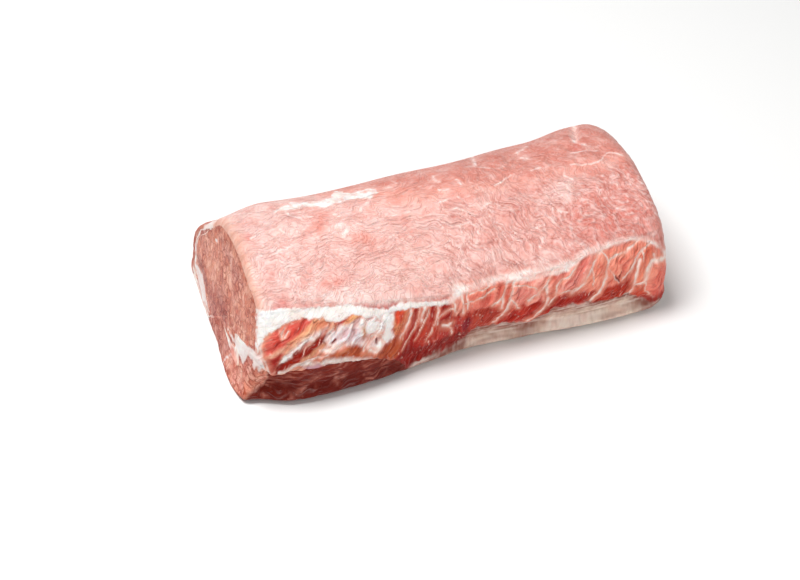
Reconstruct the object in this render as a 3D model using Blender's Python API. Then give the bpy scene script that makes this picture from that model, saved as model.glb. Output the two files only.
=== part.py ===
"""A boneless pork loin: a trimmed roasting piece, cut across at both ends and lying on its fat side.

Its muscles and its fat layer are separate solids that run through the piece, 0.3 mm apart:
the eye of the loin, the red strip along the backbone side, the fat layer under the eye,
a lean wedge under the fat at the left end, and the lean flap along the belly side.

Every cross-section is described round a core point inside the eye, by a direction (turn, in degrees)
and a distance (reach): 180 degrees faces the front, 270 the table and 360 the back. From the outside
in come the skin, the outer face of the fat and the eye. Metres, +Z up, +X along the loin.
"""

import math

import bpy
import numpy as np

MM = 0.001

# Driving dimensions: a half loin of about 1.9 kg.
LENGTH = 258 * MM
GAP = 0.45 * MM  # between two solids that touch: 0.3 mm or more is left between their flat facets
CORE_Y = 55 * MM  # the core point, from the front foot line and from the table
CORE_Z = 36 * MM
ORIGIN_X = 128.5 * MM  # the middle of the piece, from the left cut and from the front foot line
ORIGIN_Y = 55 * MM

# The outline of the cross-section, from the front foot over the top to the back foot, in mm. Each row
# is one feature of it: its distances y from the front foot line, and its heights z, at the stations.
OUTLINE_STATIONS = (0, 30, 65, 105, 140, 200, 230, LENGTH / MM)
OUTLINE = (
    ((6, -2, -1, 3.5, 8.5, 4.5, 5, 7), (0, 0, 0, 0, 0, 0, 0, 0)),  # front foot
    ((-1, -11.5, -13, -6.5, 0, -3, -2, -1), (12, 13, 13, 11.7, 11, 11, 11.6, 12)),  # front swell
    ((-6, -13, -11, -7.3, -6.1, -6.9, -5.3, -4), (30, 31, 30, 30, 30, 30, 31.2, 32)),  # front wall
    ((4, 3, -1, -1.8, -2, -0.8, 2.7, 5), (57, 55, 51.5, 47.6, 46.7, 50.8, 52.9, 54)),  # ridge
    ((23, 22, 21, 20.2, 20, 21.2, 23.5, 25), (64, 63, 61, 58, 57.1, 60.3, 62.1, 63)),  # brow
    ((54, 53, 53, 53, 53.1, 55.2, 56.4, 57), (69, 69, 68, 67.2, 67.1, 68.6, 69.2, 69.5)),  # crown
    ((80, 81, 81, 81.5, 82.2, 84.6, 87, 87), (63, 64, 63.5, 63.5, 63.6, 65.5, 67, 67)),  # back slope
    ((96, 99, 99, 100.7, 101.8, 104.6, 108.5, 109), (49, 52, 51, 51, 50.5, 52, 54, 53)),  # shoulder
    ((121, 120, 119, 119.5, 120.2, 122.2, 124, 125), (26, 26, 26, 26, 26.1, 28.2, 29.4, 30)),  # back wall
    ((119, 118, 116, 116.5, 117.2, 119.2, 121, 122), (9, 9, 9, 9, 9, 10.1, 10.7, 11)),  # back swell
    ((107, 106, 104, 104.5, 105.2, 107.2, 108.4, 109), (0, 0, 0, 0, 0, 0, 0, 0)),  # back foot
)

# The cuts: how far each leans back for its distance along y or z, and how much it bulges in the middle.
LEFT_CUT_LEAN_Y = 0.04
LEFT_CUT_LEAN_Z = 0.187
LEFT_CUT_TOE = 5 * MM  # how far it spreads on the table at most
LEFT_CUT_TOE_HEIGHT = 22 * MM
LEFT_CUT_TOE_PLACES = ((-12, 5, 17, 35, 55), (0.5, 0.6, 0.7, 0.4, 0))  # y in mm, and the share there
RIGHT_CUT_FOOT = 256 * MM
RIGHT_CUT_LEAN_Y = 0.05
RIGHT_CUT_LEAN_Z = -0.10
CUT_BULGE = 2 * MM
LEFT_RIM_RADIUS = 4  # in mm
RIGHT_RIM_TURNS = (0, 25, 45, 65, 90, 150, 175, 203, 215, 225, 250, 330, 360)
RIGHT_RIM_RADIUS = (13, 16, 17, 14, 10, 9, 9, 10, 20, 21, 12, 11, 13)  # in mm, in those directions

# The layers: the strip and the wedge along the loin, and the directions that bound the others.
STRIP_DEPTH = (2.5, 6, 9, 11.9, 13.2, 14.1, 14.7, 15)  # in mm, at the stations
STRIP_TOP = (158, 160, 163, 168.3, 169.8, 164.6, 161.5, 160)  # its upper edge's direction, along the ridge
FLAP_DEPTH = (8, 8, 7.5, 7.1, 7, 8.1, 8.7, 9)
WEDGE_LENGTH = 94.5 * MM
WEDGE_DEPTH = 18 * MM
BACK_CORNER = 332
FLAP_TOP = 376
FAT_TOP = 386
THIN_EDGE = 0.9 * MM  # no layer feathers out thinner than this

# The faces: every solid has them at the same stations along the loin and the same steps round it.
# The steps count up from the ridge, down the front, under the loin and up its back, and over the top.
CELLS_X = 34
WEDGE_CELLS_X = 14
FOOT_STEP = 8
BACK_CORNER_STEP = 26
FAT_TOP_STEP = 34
ALL_STEPS = 52
WEDGE_STEPS = (8, 20)
FLAP_STEPS = (25, 33)
FAT_FIRST_EDGE = 0.11  # in steps: the gap between the strip and the fat
WEDGE_FIRST_EDGE = 0.35  # in steps: the fat that shows between the strip and the wedge

OUTLINE_SECTIONS = 67  # the outline is worked out at this many places along the loin
OUTLINE_TURNS = 361  # and in this many directions round it


def curve_through(knots, values, at):
    """A smooth curve through the values at the knots, which doesn't overshoot them."""
    knots = np.asarray(knots, float)
    values = np.asarray(values, float)
    at = np.clip(at, knots[0], knots[-1])
    step = np.diff(knots)
    rise = np.diff(values) / step
    slope = np.zeros(len(knots))
    both = rise[:-1] + rise[1:]
    steady = rise[:-1] * rise[1:] > 0
    slope[1:-1] = np.where(steady, 2 * rise[:-1] * rise[1:] / np.where(steady, both, 1), 0)
    i = np.clip(np.searchsorted(knots, at, side="right") - 1, 0, len(step) - 1)
    s = (at - knots[i]) / step[i]
    return (
        values[i] * (1 + 2 * s) * (1 - s) ** 2
        + slope[i] * step[i] * s * (1 - s) ** 2
        + values[i + 1] * s**2 * (3 - 2 * s)
        + slope[i + 1] * step[i] * s**2 * (s - 1)
    )


def along(values, x):
    """A measure at x, from its values at the stations."""
    return curve_through(np.array(OUTLINE_STATIONS) * MM, values, x)


def closed_spline(points, per_span=24):
    """A closed Catmull-Rom curve through the points."""
    before, after, beyond = (np.roll(points, n, axis=0) for n in (1, -1, -2))
    s = np.linspace(0, 1, per_span, endpoint=False)[:, None, None]
    curve = 0.5 * (
        2 * points
        + (after - before) * s
        + (2 * before - 5 * points + 4 * after - beyond) * s**2
        + (3 * points - before - 3 * after + beyond) * s**3
    )
    return curve.transpose(1, 0, 2).reshape(-1, 2)


def outline_reach(x):
    """The reach of the outline at x, in directions from 0 to 360 degrees."""
    curve = closed_spline(np.array([[along(y, x), along(z, x)] for y, z in OUTLINE]) * MM)
    curve[:, 1] = np.maximum(curve[:, 1], 0)
    offset = curve - (CORE_Y, CORE_Z)
    turn = np.degrees(np.arctan2(offset[:, 1], offset[:, 0])) % 360
    order = np.argsort(turn)
    reach = np.hypot(*offset[order].T)
    return np.interp(np.linspace(0, 360, OUTLINE_TURNS), turn[order], reach, period=360)


OUTLINE_REACH = np.array([outline_reach(x) for x in np.linspace(0, LENGTH, OUTLINE_SECTIONS)])


def downward(turn):
    """1 where a direction faces the table and 0 where it faces the sides or up."""
    return np.clip((-np.sin(np.radians(turn)) - 0.45) / 0.2, 0, 1)


def rim_inset(x, turn):
    """How far the skin draws in where it rounds over into the two cuts: little on the table."""
    right_radius = curve_through(RIGHT_RIM_TURNS, RIGHT_RIM_RADIUS, np.mod(turn, 360))
    inset = 0
    for radius, depth in ((LEFT_RIM_RADIUS, x), (right_radius, LENGTH - x)):
        inside = np.clip(1 - depth / (radius * MM), 0, 1)
        inset = inset + radius * MM * (1 - np.sqrt(1 - inside**2))
    return inset * (1 - 0.85 * downward(turn))


def lumps(x, turn):
    """Broad unevenness of the flesh, about a millimetre, which fades out on the table."""
    angle = np.radians(turn)
    waves = (
        np.sin(x / (21 * MM) + 2 * angle)
        + 0.8 * np.sin(x / (13 * MM) - 3 * angle + 1.3)
        + 0.6 * np.sin(x / (9 * MM) + 5 * angle + 4.1)
    )
    return 0.35 * MM * waves * (1 - downward(turn))


def skin(x, turn):
    """The reach of the outer surface."""
    column = np.clip(x / LENGTH, 0, 1) * (OUTLINE_SECTIONS - 1)
    row = np.mod(turn, 360) / 360 * (OUTLINE_TURNS - 1)
    i = np.minimum(column.astype(int), OUTLINE_SECTIONS - 2)
    j = np.minimum(row.astype(int), OUTLINE_TURNS - 2)
    s, t = column - i, row - j
    low = OUTLINE_REACH[i, j] * (1 - t) + OUTLINE_REACH[i, j + 1] * t
    high = OUTLINE_REACH[i + 1, j] * (1 - t) + OUTLINE_REACH[i + 1, j + 1] * t
    return low * (1 - s) + high * s + lumps(x, turn) - rim_inset(x, turn)


def strip_foot(x):
    """The direction of the strip's lower edge: high over the wedge, and down to the table at the wedge's end."""
    places = np.array((0, 11, 21, 34, 52, 70, 85, 97, 108, 128, 155, 190, 215, 258)) * MM
    return curve_through(places, (184, 192, 188, 187, 188, 191, 197, 205, 204, 198, 197, 198, 198, 202), x)


def direction(x, step):
    """The turn of a step round the section at x. The steps are close together at the corners underneath."""
    top, foot = along(STRIP_TOP, x), strip_foot(x)
    front = top + (foot - top) * step / FOOT_STEP
    share = np.clip((step - FOOT_STEP) / (BACK_CORNER_STEP - FOOT_STEP), 0, 1)
    under = foot + (BACK_CORNER - foot) * (share - 0.5 * np.sin(2 * math.pi * share) / (2 * math.pi))
    share = (step - BACK_CORNER_STEP) / (FAT_TOP_STEP - BACK_CORNER_STEP)
    back = BACK_CORNER + (FAT_TOP - BACK_CORNER) * share
    share = (step - FAT_TOP_STEP) / (ALL_STEPS - FAT_TOP_STEP)
    over = FAT_TOP + (top + 360 - FAT_TOP) * share
    return np.select([step < FOOT_STEP, step < BACK_CORNER_STEP, step < FAT_TOP_STEP], [front, under, back], over)


def thinned(depth, x):
    """A layer's depth, which the rounded rims take some of, and which stays over the thin edge."""
    rim = rim_inset(x, np.full_like(x, 90)) / (11 * MM)
    return np.maximum(depth * MM * (1 - 0.6 * rim), THIN_EDGE)


def wedge_depth(x, turn, step):
    """The depth of the lean wedge: it is blunt along its top, and tapers along the loin and to the back."""
    foot = strip_foot(x)
    across = curve_through((0, 0.05, 0.12, 0.5, 0.75, 1), (0.3, 0.6, 0.95, 1, 0.65, 0), (turn - foot) / (305 - foot))
    taper = np.clip(1 - x / WEDGE_LENGTH, 0, 1) ** 0.6
    depth = np.maximum(WEDGE_DEPTH * taper * across, THIN_EDGE) + GAP
    there = (step <= WEDGE_STEPS[1]) & (x < WEDGE_LENGTH)
    return np.where(there, depth * np.clip(step - WEDGE_STEPS[0], 0, 1), 0)


def flap_depth(x, turn, step):
    """The depth of the lean flap along the belly side."""
    across = curve_through((BACK_CORNER - 12, 340, 355, FLAP_TOP), (0, 0.8, 1, 0), turn)
    there = (step >= FLAP_STEPS[0]) & (step <= FLAP_STEPS[1])
    return np.where(there, thinned(along(FLAP_DEPTH, x) * across, x) + GAP, 0)


def fat_depth(x, turn):
    """The depth of the fat: a seam with a thick corner over the wedge, and a cap from the wedge's end on."""
    seam_turns = (180, 188, 194, 208, 222, 235, 270, 300, 318, 332, 345, FAT_TOP)
    seam = curve_through(seam_turns, (4, 8, 10, 14, 8, 2.2, 1.6, 4, 6.5, 5, 2, 0), turn)
    cap = curve_through((197, 215, 235, 270, 305, 330, 345, FAT_TOP), (12, 16, 13, 9, 9, 7, 3, 0), turn)
    share = curve_through((0.3, 0.5), (0, 1), x / LENGTH)
    return thinned(seam * (1 - share) + cap * share, x)


def strip_depth(x, turn):
    """The depth of the strip: thin at the ridge, and full from halfway down."""
    top = along(STRIP_TOP, x)
    across = curve_through((0, 0.3, 0.65, 1), (0, 0.7, 1, 1), (turn - top) / (strip_foot(x) - top))
    return thinned(along(STRIP_DEPTH, x) * across, x)


def skin_face(x, turn, step):
    """The outer face of the strip, the wedge and the flap."""
    return skin(x, turn)


def fat_face(x, turn, step):
    """The outer face of the fat, under the wedge and the flap."""
    return skin(x, turn) - wedge_depth(x, turn, step) - flap_depth(x, turn, step)


def wedge_and_flap_bed(x, turn, step):
    """The inner face of the wedge and the flap."""
    return fat_face(x, turn, step) + GAP


def bed(x, turn, step):
    """The inner face of the strip and the fat, which runs on from the one to the other."""
    under_strip = skin(x, turn) - strip_depth(x, turn)
    under_fat = fat_face(x, turn, step) - fat_depth(x, turn)
    fatness = np.clip(step - FOOT_STEP + 1, 0, 1)
    return under_strip * (1 - fatness) + under_fat * fatness


def eye_face(x, turn, step):
    """The outer face of the eye: bare on top, and under the strip and the fat elsewhere."""
    bare = (step > FAT_TOP_STEP + 0.5) & (step < ALL_STEPS - 0.5)
    return np.where(bare, skin(x, turn), bed(x, turn, step) - GAP)


def place(share, turn, reach):
    """Points, from the share of the length, the direction round the core and the distance from it."""
    angle = np.radians(turn)
    y = CORE_Y + reach * np.cos(angle)
    z = np.maximum(CORE_Z + reach * np.sin(angle), 0)
    bulge = CUT_BULGE * (1 - np.clip(reach / CORE_Y, 0, 1) ** 2)
    low = np.clip(1 - z / LEFT_CUT_TOE_HEIGHT, 0, 1)
    toe = LEFT_CUT_TOE * low**2 * curve_through(*LEFT_CUT_TOE_PLACES, y / MM)
    left = LEFT_CUT_LEAN_Y * y + LEFT_CUT_LEAN_Z * z - toe - bulge
    right = RIGHT_CUT_FOOT + RIGHT_CUT_LEAN_Y * y + RIGHT_CUT_LEAN_Z * z + bulge
    x = left + share * (right - left)
    return np.stack([x - ORIGIN_X, y - ORIGIN_Y, z], axis=1)


def station(share):
    """The share of the length of a station: they are close together near the cuts, where the rims round over."""
    return share - 0.7 * np.sin(2 * math.pi * share) / (2 * math.pi)


def block(name, cells):
    """A cube from 0 to 1, cut into cells along its three directions, and its points."""
    bpy.ops.mesh.primitive_cube_add(size=1, location=(0.5, 0.5, 0.5))
    piece = bpy.context.object
    piece.name = piece.data.name = name
    bpy.ops.object.transform_apply(location=True)
    for axis, number in enumerate(cells):
        bpy.ops.object.mode_set(mode="EDIT")
        bpy.ops.mesh.select_mode(type="EDGE")
        bpy.ops.mesh.select_all(action="DESELECT")
        bpy.ops.object.mode_set(mode="OBJECT")
        for edge in piece.data.edges:
            a, b = (piece.data.vertices[v].co for v in edge.vertices)
            edge.select = abs(a[axis] - b[axis]) > 0.5
        bpy.ops.object.mode_set(mode="EDIT")
        bpy.ops.mesh.subdivide(number_cuts=number - 1)
        bpy.ops.object.mode_set(mode="OBJECT")
    points = np.empty(len(piece.data.vertices) * 3)
    piece.data.vertices.foreach_get("co", points)
    return piece, np.round(points.reshape(-1, 3) * cells) / cells


def shape(piece, points, material):
    """Moves the cube's points to their places in the solid, and turns its faces outwards.

    Splitting the cells along their shorter diagonals makes the faces of two layers that touch alike.
    """
    piece.data.vertices.foreach_set("co", points.astype(np.float32).ravel())
    piece.data.update()
    bpy.ops.object.mode_set(mode="EDIT")
    bpy.ops.mesh.select_all(action="SELECT")
    bpy.ops.mesh.quads_convert_to_tris(quad_method="SHORTEST_DIAGONAL")
    bpy.ops.mesh.normals_make_consistent(inside=False)
    bpy.ops.object.mode_set(mode="OBJECT")
    piece.data.shade_smooth()
    piece.data.set_sharp_from_angle(angle=math.radians(50))
    piece.data.materials.append(material)


def moist(name, colour, roughness):
    """A moist surface that isn't metal, of an sRGB colour."""
    material = bpy.data.materials.new(name)
    material.use_nodes = True
    linear = [((c + 0.055) / 1.055) ** 2.4 for c in colour]
    shader = material.node_tree.nodes["Principled BSDF"]
    shader.inputs["Base Color"].default_value = (*linear, 1)
    shader.inputs["Roughness"].default_value = roughness
    shader.inputs["Metallic"].default_value = 0
    return material


def make_eye(material):
    """The eye of the loin. Each side of the cube's square section becomes a stretch of the outline."""
    under = BACK_CORNER_STEP - FOOT_STEP
    piece, cell = block("loin_eye", (CELLS_X, under, FOOT_STEP))
    share = station(cell[:, 0])
    across, up = cell[:, 1] * 2 - 1, cell[:, 2] * 2 - 1
    ring = np.maximum(np.abs(across), np.abs(up))
    across, up = ((c / np.maximum(ring, 1e-6) + 1) / 2 for c in (across, up))
    step = np.select(
        [up < 1e-6, up > 1 - 1e-6, across < 1e-6],
        [FOOT_STEP + under * across, ALL_STEPS - under * across, FOOT_STEP * (1 - up)],
        BACK_CORNER_STEP + FOOT_STEP * up,
    )
    x = share * LENGTH
    turn = direction(x, step)
    shape(piece, place(share, turn, ring * eye_face(x, turn, step)), material)


def make_layer(name, cells_x, steps, cells_in, first_edge, faces, material):
    """A layer from the left cut over a number of stations, and from one step to another round the section.

    Its first edge stands back by a share of a step, and faces are its inner and its outer one.
    """
    piece, cell = block(name, (cells_x, steps[1] - steps[0], cells_in))
    share = station(cell[:, 0] * cells_x / CELLS_X)
    x = share * LENGTH
    step = steps[0] + np.round((steps[1] - steps[0]) * cell[:, 1])

    def points_at(step):
        turn = direction(x, step)
        inner, outer = (face(x, turn, step) for face in faces)
        return place(share, turn, inner + (outer - inner) * cell[:, 2])

    set_back = np.where(step == steps[0], first_edge, 0)[:, None]
    shape(piece, points_at(step) * (1 - set_back) + points_at(step + 1) * set_back, material)


def main():
    for thing in list(bpy.data.objects):
        bpy.data.objects.remove(thing)
    make_eye(moist("pale lean", (0.93, 0.72, 0.67), 0.45))
    red = moist("red lean", (0.80, 0.36, 0.30), 0.40)
    make_layer("backbone_strip", CELLS_X, (0, FOOT_STEP), 1, 0, (bed, skin_face), red)
    cream = moist("back fat", (0.90, 0.84, 0.78), 0.50)
    make_layer("fat_layer", CELLS_X, (FOOT_STEP, FAT_TOP_STEP), 1, FAT_FIRST_EDGE, (bed, fat_face), cream)
    pink = moist("pink lean", (0.80, 0.50, 0.44), 0.45)
    make_layer("under_lean", WEDGE_CELLS_X, WEDGE_STEPS, 2, WEDGE_FIRST_EDGE, (wedge_and_flap_bed, skin_face), pink)
    rose = moist("flap lean", (0.82, 0.50, 0.43), 0.45)
    make_layer("belly_flap", CELLS_X, FLAP_STEPS, 1, 0, (wedge_and_flap_bed, skin_face), rose)


main()
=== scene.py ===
"""The looks of a raw boneless pork loin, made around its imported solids.

Five pieces stand for the five solids: the eye of the loin, the strip along the backbone side, the back fat,
the lean under it and the belly flap. Each is a cube that is cut into fine cells and moved to its place
in the loin, by the share of the length and the direction round the core of the section.

A direction, or turn, is in degrees: 90 is up, 180 the front, 270 the table and 360 the back. A step counts
round the section from the ridge, over the front foot, the table and the back, to the ridge again. x, y and z
are in metres from the left end and the front foot, and the tables of the looks are in mm and degrees.
"""

import math

import bpy
import numpy as np
from mathutils import Matrix, Vector


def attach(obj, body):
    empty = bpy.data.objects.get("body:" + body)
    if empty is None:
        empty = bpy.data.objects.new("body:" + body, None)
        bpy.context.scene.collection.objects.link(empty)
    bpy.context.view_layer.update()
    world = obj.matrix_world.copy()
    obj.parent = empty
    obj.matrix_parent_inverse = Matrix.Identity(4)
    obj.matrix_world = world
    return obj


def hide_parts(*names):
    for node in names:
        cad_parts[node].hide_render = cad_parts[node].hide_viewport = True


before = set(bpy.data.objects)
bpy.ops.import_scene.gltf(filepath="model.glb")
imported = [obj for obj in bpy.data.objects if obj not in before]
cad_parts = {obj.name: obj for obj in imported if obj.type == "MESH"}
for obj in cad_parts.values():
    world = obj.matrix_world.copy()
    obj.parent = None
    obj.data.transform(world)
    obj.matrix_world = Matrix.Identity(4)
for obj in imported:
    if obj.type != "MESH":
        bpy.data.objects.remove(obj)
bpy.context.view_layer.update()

MM = 0.001

# The shape of the loin, as its solids have it.
LENGTH = 258 * MM
SEAM = 0.004 * MM  # between two layers
SHY = 0.25 * MM  # how far the skin stays inside the solids
CORE_Y = 55 * MM
CORE_Z = 36 * MM
ORIGIN_X = 128.5 * MM  # the part's own origin, in the middle of its box
ORIGIN_Y = 55 * MM
OUTLINE_STATIONS = (0, 30, 65, 105, 140, 200, 230, 258)  # mm from the left end
OUTLINE = (  # y and z in mm at each station
    ((6, -2, -1, 3.5, 8.5, 4.5, 5, 7), (0, 0, 0, 0, 0, 0, 0, 0)),  # front foot
    ((-1, -11.5, -13, -6.5, 0, -3, -2, -1), (12, 13, 13, 11.7, 11, 11, 11.6, 12)),  # front swell
    ((-6, -13, -11, -7.3, -6.1, -6.9, -5.3, -4), (30, 31, 30, 30, 30, 30, 31.2, 32)),  # front wall
    ((4, 3, -1, -1.8, -2, -0.8, 2.7, 5), (57, 55, 51.5, 47.6, 46.7, 50.8, 52.9, 54)),  # ridge
    ((23, 22, 21, 20.2, 20, 21.2, 23.5, 25), (64, 63, 61, 58, 57.1, 60.3, 62.1, 63)),  # brow
    ((54, 53, 53, 53, 53.1, 55.2, 56.4, 57), (69, 69, 68, 67.2, 67.1, 68.6, 69.2, 69.5)),  # crown
    ((80, 81, 81, 81.5, 82.2, 84.6, 87, 87), (63, 64, 63.5, 63.5, 63.6, 65.5, 67, 67)),  # back slope
    ((96, 99, 99, 100.7, 101.8, 104.6, 108.5, 109), (49, 52, 51, 51, 50.5, 52, 54, 53)),  # shoulder
    ((121, 120, 119, 119.5, 120.2, 122.2, 124, 125), (26, 26, 26, 26, 26.1, 28.2, 29.4, 30)),  # back wall
    ((119, 118, 116, 116.5, 117.2, 119.2, 121, 122), (9, 9, 9, 9, 9, 10.1, 10.7, 11)),  # back swell
    ((107, 106, 104, 104.5, 105.2, 107.2, 108.4, 109), (0, 0, 0, 0, 0, 0, 0, 0)),  # back foot
)

# The cuts lean across and up, and bulge in the middle. The left one has a toe at its foot.
LEFT_CUT_LEAN_Y = 0.04
LEFT_CUT_LEAN_Z = 0.187
LEFT_CUT_TOE = 5 * MM
LEFT_CUT_TOE_HEIGHT = 22 * MM
LEFT_CUT_TOE_PLACES = ((-12, 5, 17, 35, 55), (0.5, 0.6, 0.7, 0.4, 0))  # y in mm, and the toe's share there
RIGHT_CUT_FOOT = 256 * MM
RIGHT_CUT_LEAN_Y = 0.05
RIGHT_CUT_LEAN_Z = -0.10
CUT_BULGE = 2 * MM

# The radius in mm with which the skin rounds over into each cut. The right one's changes with the direction.
LEFT_RIM_RADIUS = 4
RIGHT_RIM_TURNS = (0, 25, 45, 65, 90, 150, 175, 203, 215, 225, 250, 330, 360)
RIGHT_RIM_RADIUS = (13, 16, 17, 14, 10, 9, 9, 10, 20, 21, 12, 11, 13)
RIM_ON_TABLE = 0.15  # how much of the rounding is left where the loin lies on the table
LUMP_HEIGHT = 0.35 * MM

# The layers: depths in mm and turns, at the stations where there are several, or at the turns beside them.
STRIP_DEPTH = (2.5, 6, 9, 11.9, 13.2, 14.1, 14.7, 15)
STRIP_TOP = (158, 160, 163, 168.3, 169.8, 164.6, 161.5, 160)
FLAP_DEPTH = (8, 8, 7.5, 7.1, 7, 8.1, 8.7, 9)
STRIP_FOOT = (  # x in mm, and the turn of the strip's lower edge
    (0, 11, 21, 34, 52, 70, 85, 97, 108, 128, 155, 190, 215, 258),
    (184, 192, 188, 187, 188, 191, 197, 205, 204, 198, 197, 198, 198, 202),
)
WEDGE_LENGTH = 94.5 * MM
WEDGE_DEPTH = 18 * MM
WEDGE_END = 305  # the turn at which the lean under the fat runs out
BACK_CORNER = 332  # where the underside turns up into the back
FLAP_TOP = 376
FAT_TOP = 386
FAT_SEAM = (
    (180, 188, 194, 208, 222, 235, 270, 300, 318, 332, 345, FAT_TOP),
    (4, 8, 10, 14, 8, 2.2, 1.6, 4, 6.5, 5, 2, 0),
)
FAT_CAP = ((197, 215, 235, 270, 305, 330, 345, FAT_TOP), (12, 16, 13, 9, 9, 7, 3, 0))
FAT_SEAM_TO_CAP = (0.3, 0.5)  # shares of the length
THIN_EDGE = 0.004 * MM  # what is left of a layer where it runs out

# Steps round the section.
FOOT_STEP = 8
BACK_CORNER_STEP = 26
FAT_TOP_STEP = 34
ALL_STEPS = 52
WEDGE_STEPS = (8, 20)
FLAP_STEPS = (25, 33)
WEDGE_FIRST_EDGE = 0.35

# How finely the outline is worked out along the loin and round it.
OUTLINE_SECTIONS = 130
OUTLINE_TURNS = 721

# White fat and sinews on the front, as (x in mm, turn in degrees) along each line, after its width in mm.
FRONT_SINEWS = (
    (1.6, (1.5, 158), (1.8, 172), (2.6, 181), (5, 185), (7.5, 190), (10, 198)),
    (0.8, (15.5, 168), (13.6, 170), (13, 172.5)),
    (0.6, (17.5, 169.5), (15, 172.5)),
    (1.0, (41, 183.8), (32, 184.2), (24, 186), (19, 189), (15.5, 194)),
    (1.3, (36, 181.2), (43, 182.2), (50, 181.6)),
    (1.1, (56, 163), (55, 160), (52, 157), (49, 155)),
    (1.6, (87, 168), (84, 164), (80, 162), (76, 161.5)),
    (1.3, (32, 159), (38, 158.6), (45, 159.5), (55, 161.5)),
    (
        1.2, (63, 186.5), (66, 183), (69, 181), (73, 181.5), (75.5, 184.5), (74.5, 188), (71, 189.5),
        (66.5, 188),
    ),
    (1.2, (92.5, 170), (92, 176), (90.5, 181), (86, 187)),
    (0.7, (97, 171), (98, 175), (96.5, 181), (92.5, 188), (88, 194)),
    (1.7, (101.5, 173), (100, 176.5), (98.6, 179), (99.4, 181)),
    (0.6, (103.5, 172), (103, 177), (100.5, 183), (96, 191)),
    (0.9, (109.5, 172), (109, 177), (108.5, 181)),
    (0.5, (108.5, 181), (106, 188), (103, 194)),
    (1.3, (117, 171), (119.3, 174.5), (120, 180)),
    (0.8, (109, 185), (110, 180.5), (113.5, 178.5), (118, 177.5)),
    (1.6, (113, 187), (116, 188), (117.5, 186)),
    (0.9, (116.5, 188), (118.5, 191), (119.5, 195)),
    (1.3, (123, 167), (124, 173), (125, 181)),
    (1.0, (127, 168), (127.5, 174), (128, 180)),
    (0.8, (126, 176.5), (132, 175.3), (138, 174.8), (142, 172.5), (145, 171.5)),
    (0.8, (129, 171.5), (134, 171), (138, 171.2), (142, 169.5)),
    (1.3, (153.8, 168), (152, 172), (150.2, 177), (149.3, 181), (149, 184)),
    (1.0, (149, 178.5), (146, 179.5), (143, 181.5)),
    (1.4, (157.5, 170), (156, 174), (154.5, 180), (152.5, 186), (149, 191), (145.5, 196)),
    (0.9, (155, 180), (157.5, 183), (160, 187)),
    (0.7, (157, 172.5), (162, 173.5), (168, 175), (172, 177)),
    (1.3, (182, 167), (180, 171), (177.5, 174.5), (174, 178), (170.5, 181), (166, 183.5)),
    (1.7, (177, 175.5), (177.5, 181), (178, 187), (175.5, 192.5), (171.5, 197), (168, 200)),
    (
        1.2, (198.5, 165), (196, 169), (192, 172.5), (187, 174.8), (184, 177), (183.2, 181), (181.5, 186),
        (179, 190),
    ),
    (0.9, (184, 182), (189, 182.8), (194, 183.2), (197, 181.8)),
    (1.5, (215, 163.5), (211.5, 166), (208.5, 170), (205, 174.5), (201, 179.5), (196.5, 183), (193, 184.5)),
    (0.7, (207, 172), (207.5, 177), (207, 182)),
    (
        1.5, (239, 163.5), (235, 166), (230, 168.2), (224, 168.8), (219.5, 170.5), (217, 174), (216, 179),
        (213.5, 184), (210.5, 188.5), (205.5, 194),
    ),
    (0.8, (215, 165), (217.5, 169.5), (217.5, 173)),
    (0.8, (216.5, 174), (219.5, 178), (222, 183), (223.5, 185.5)),
    (
        1.4, (247.5, 166), (243.5, 168.4), (239.5, 170.5), (236.5, 173.5), (233.5, 178.5), (229.5, 182),
        (226, 184.5),
    ),
    (0.8, (241, 170.5), (241.5, 174), (240.5, 177)),
    (1.8, (238.5, 175), (236, 182), (234, 187), (233, 192), (231.5, 197.5)),
    (3.2, (255, 179.5), (250, 178.3), (246.5, 178.5), (243.8, 182), (242, 187), (241, 190.5)),
    (2.2, (248.3, 178.5), (248.2, 174.5)),
    (1.2, (241, 190), (237, 190.4), (234.5, 190.4)),
    (0.8, (242, 192), (242, 198), (246, 204)),
)

# White fat that covers the front, each patch by the corners of its outline.
FRONT_FAT = (
    (
        (0, 156.3), (8, 157), (17, 157.8), (30, 160.3), (45, 162), (56, 163), (66, 166.5), (76, 169),
        (86, 168.2), (100, 170), (110, 172), (117, 171), (118, 166), (122, 165.5), (121, 171), (119, 174.5),
        (108, 174), (100, 173), (92, 172.3), (83, 171.5), (72, 172), (64, 171), (56, 167.5), (48, 170),
        (42, 169), (38, 167), (32, 166), (25, 164.5), (18, 165), (12, 167), (9, 168.5), (4, 170.5),
        (1.8, 175), (0.8, 182), (0, 182),
    ),
    (
        (117.5, 165), (121, 164.5), (127, 166.5), (135, 166.5), (142, 165.7), (150, 164.8), (157, 166),
        (166, 166), (172, 166), (180, 164.7), (190, 164), (197, 162.5), (203, 161), (212, 160.5),
        (220, 159.7), (230, 159.5), (238, 159.2), (243, 160.5), (248, 164), (252, 167), (255, 171),
        (257.5, 178), (258, 186), (256.5, 186), (255, 178), (253, 172.5), (249, 169), (245, 166),
        (239, 163.5), (231, 163), (222, 163.5), (213, 165), (205, 164.5), (197, 167.5), (192, 170),
        (184, 171), (178, 170.5), (172, 171.5), (163, 172), (155, 170), (150, 169), (142, 169.5),
        (134, 170.5), (128, 170.5), (123, 172), (118.5, 171.5),
    ),
    ((13, 186), (14.5, 183), (19.5, 179.8), (26, 175.6), (31, 174), (26, 177), (20, 181), (15.5, 184.8)),
    ((66, 173), (72, 175), (70, 179), (66, 179.5), (64, 177)),
    (
        (76, 173), (80.4, 172.6), (80.8, 176), (79.4, 180), (80.4, 184), (77.6, 187.4), (74.6, 184),
        (76.6, 179),
    ),
)

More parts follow.
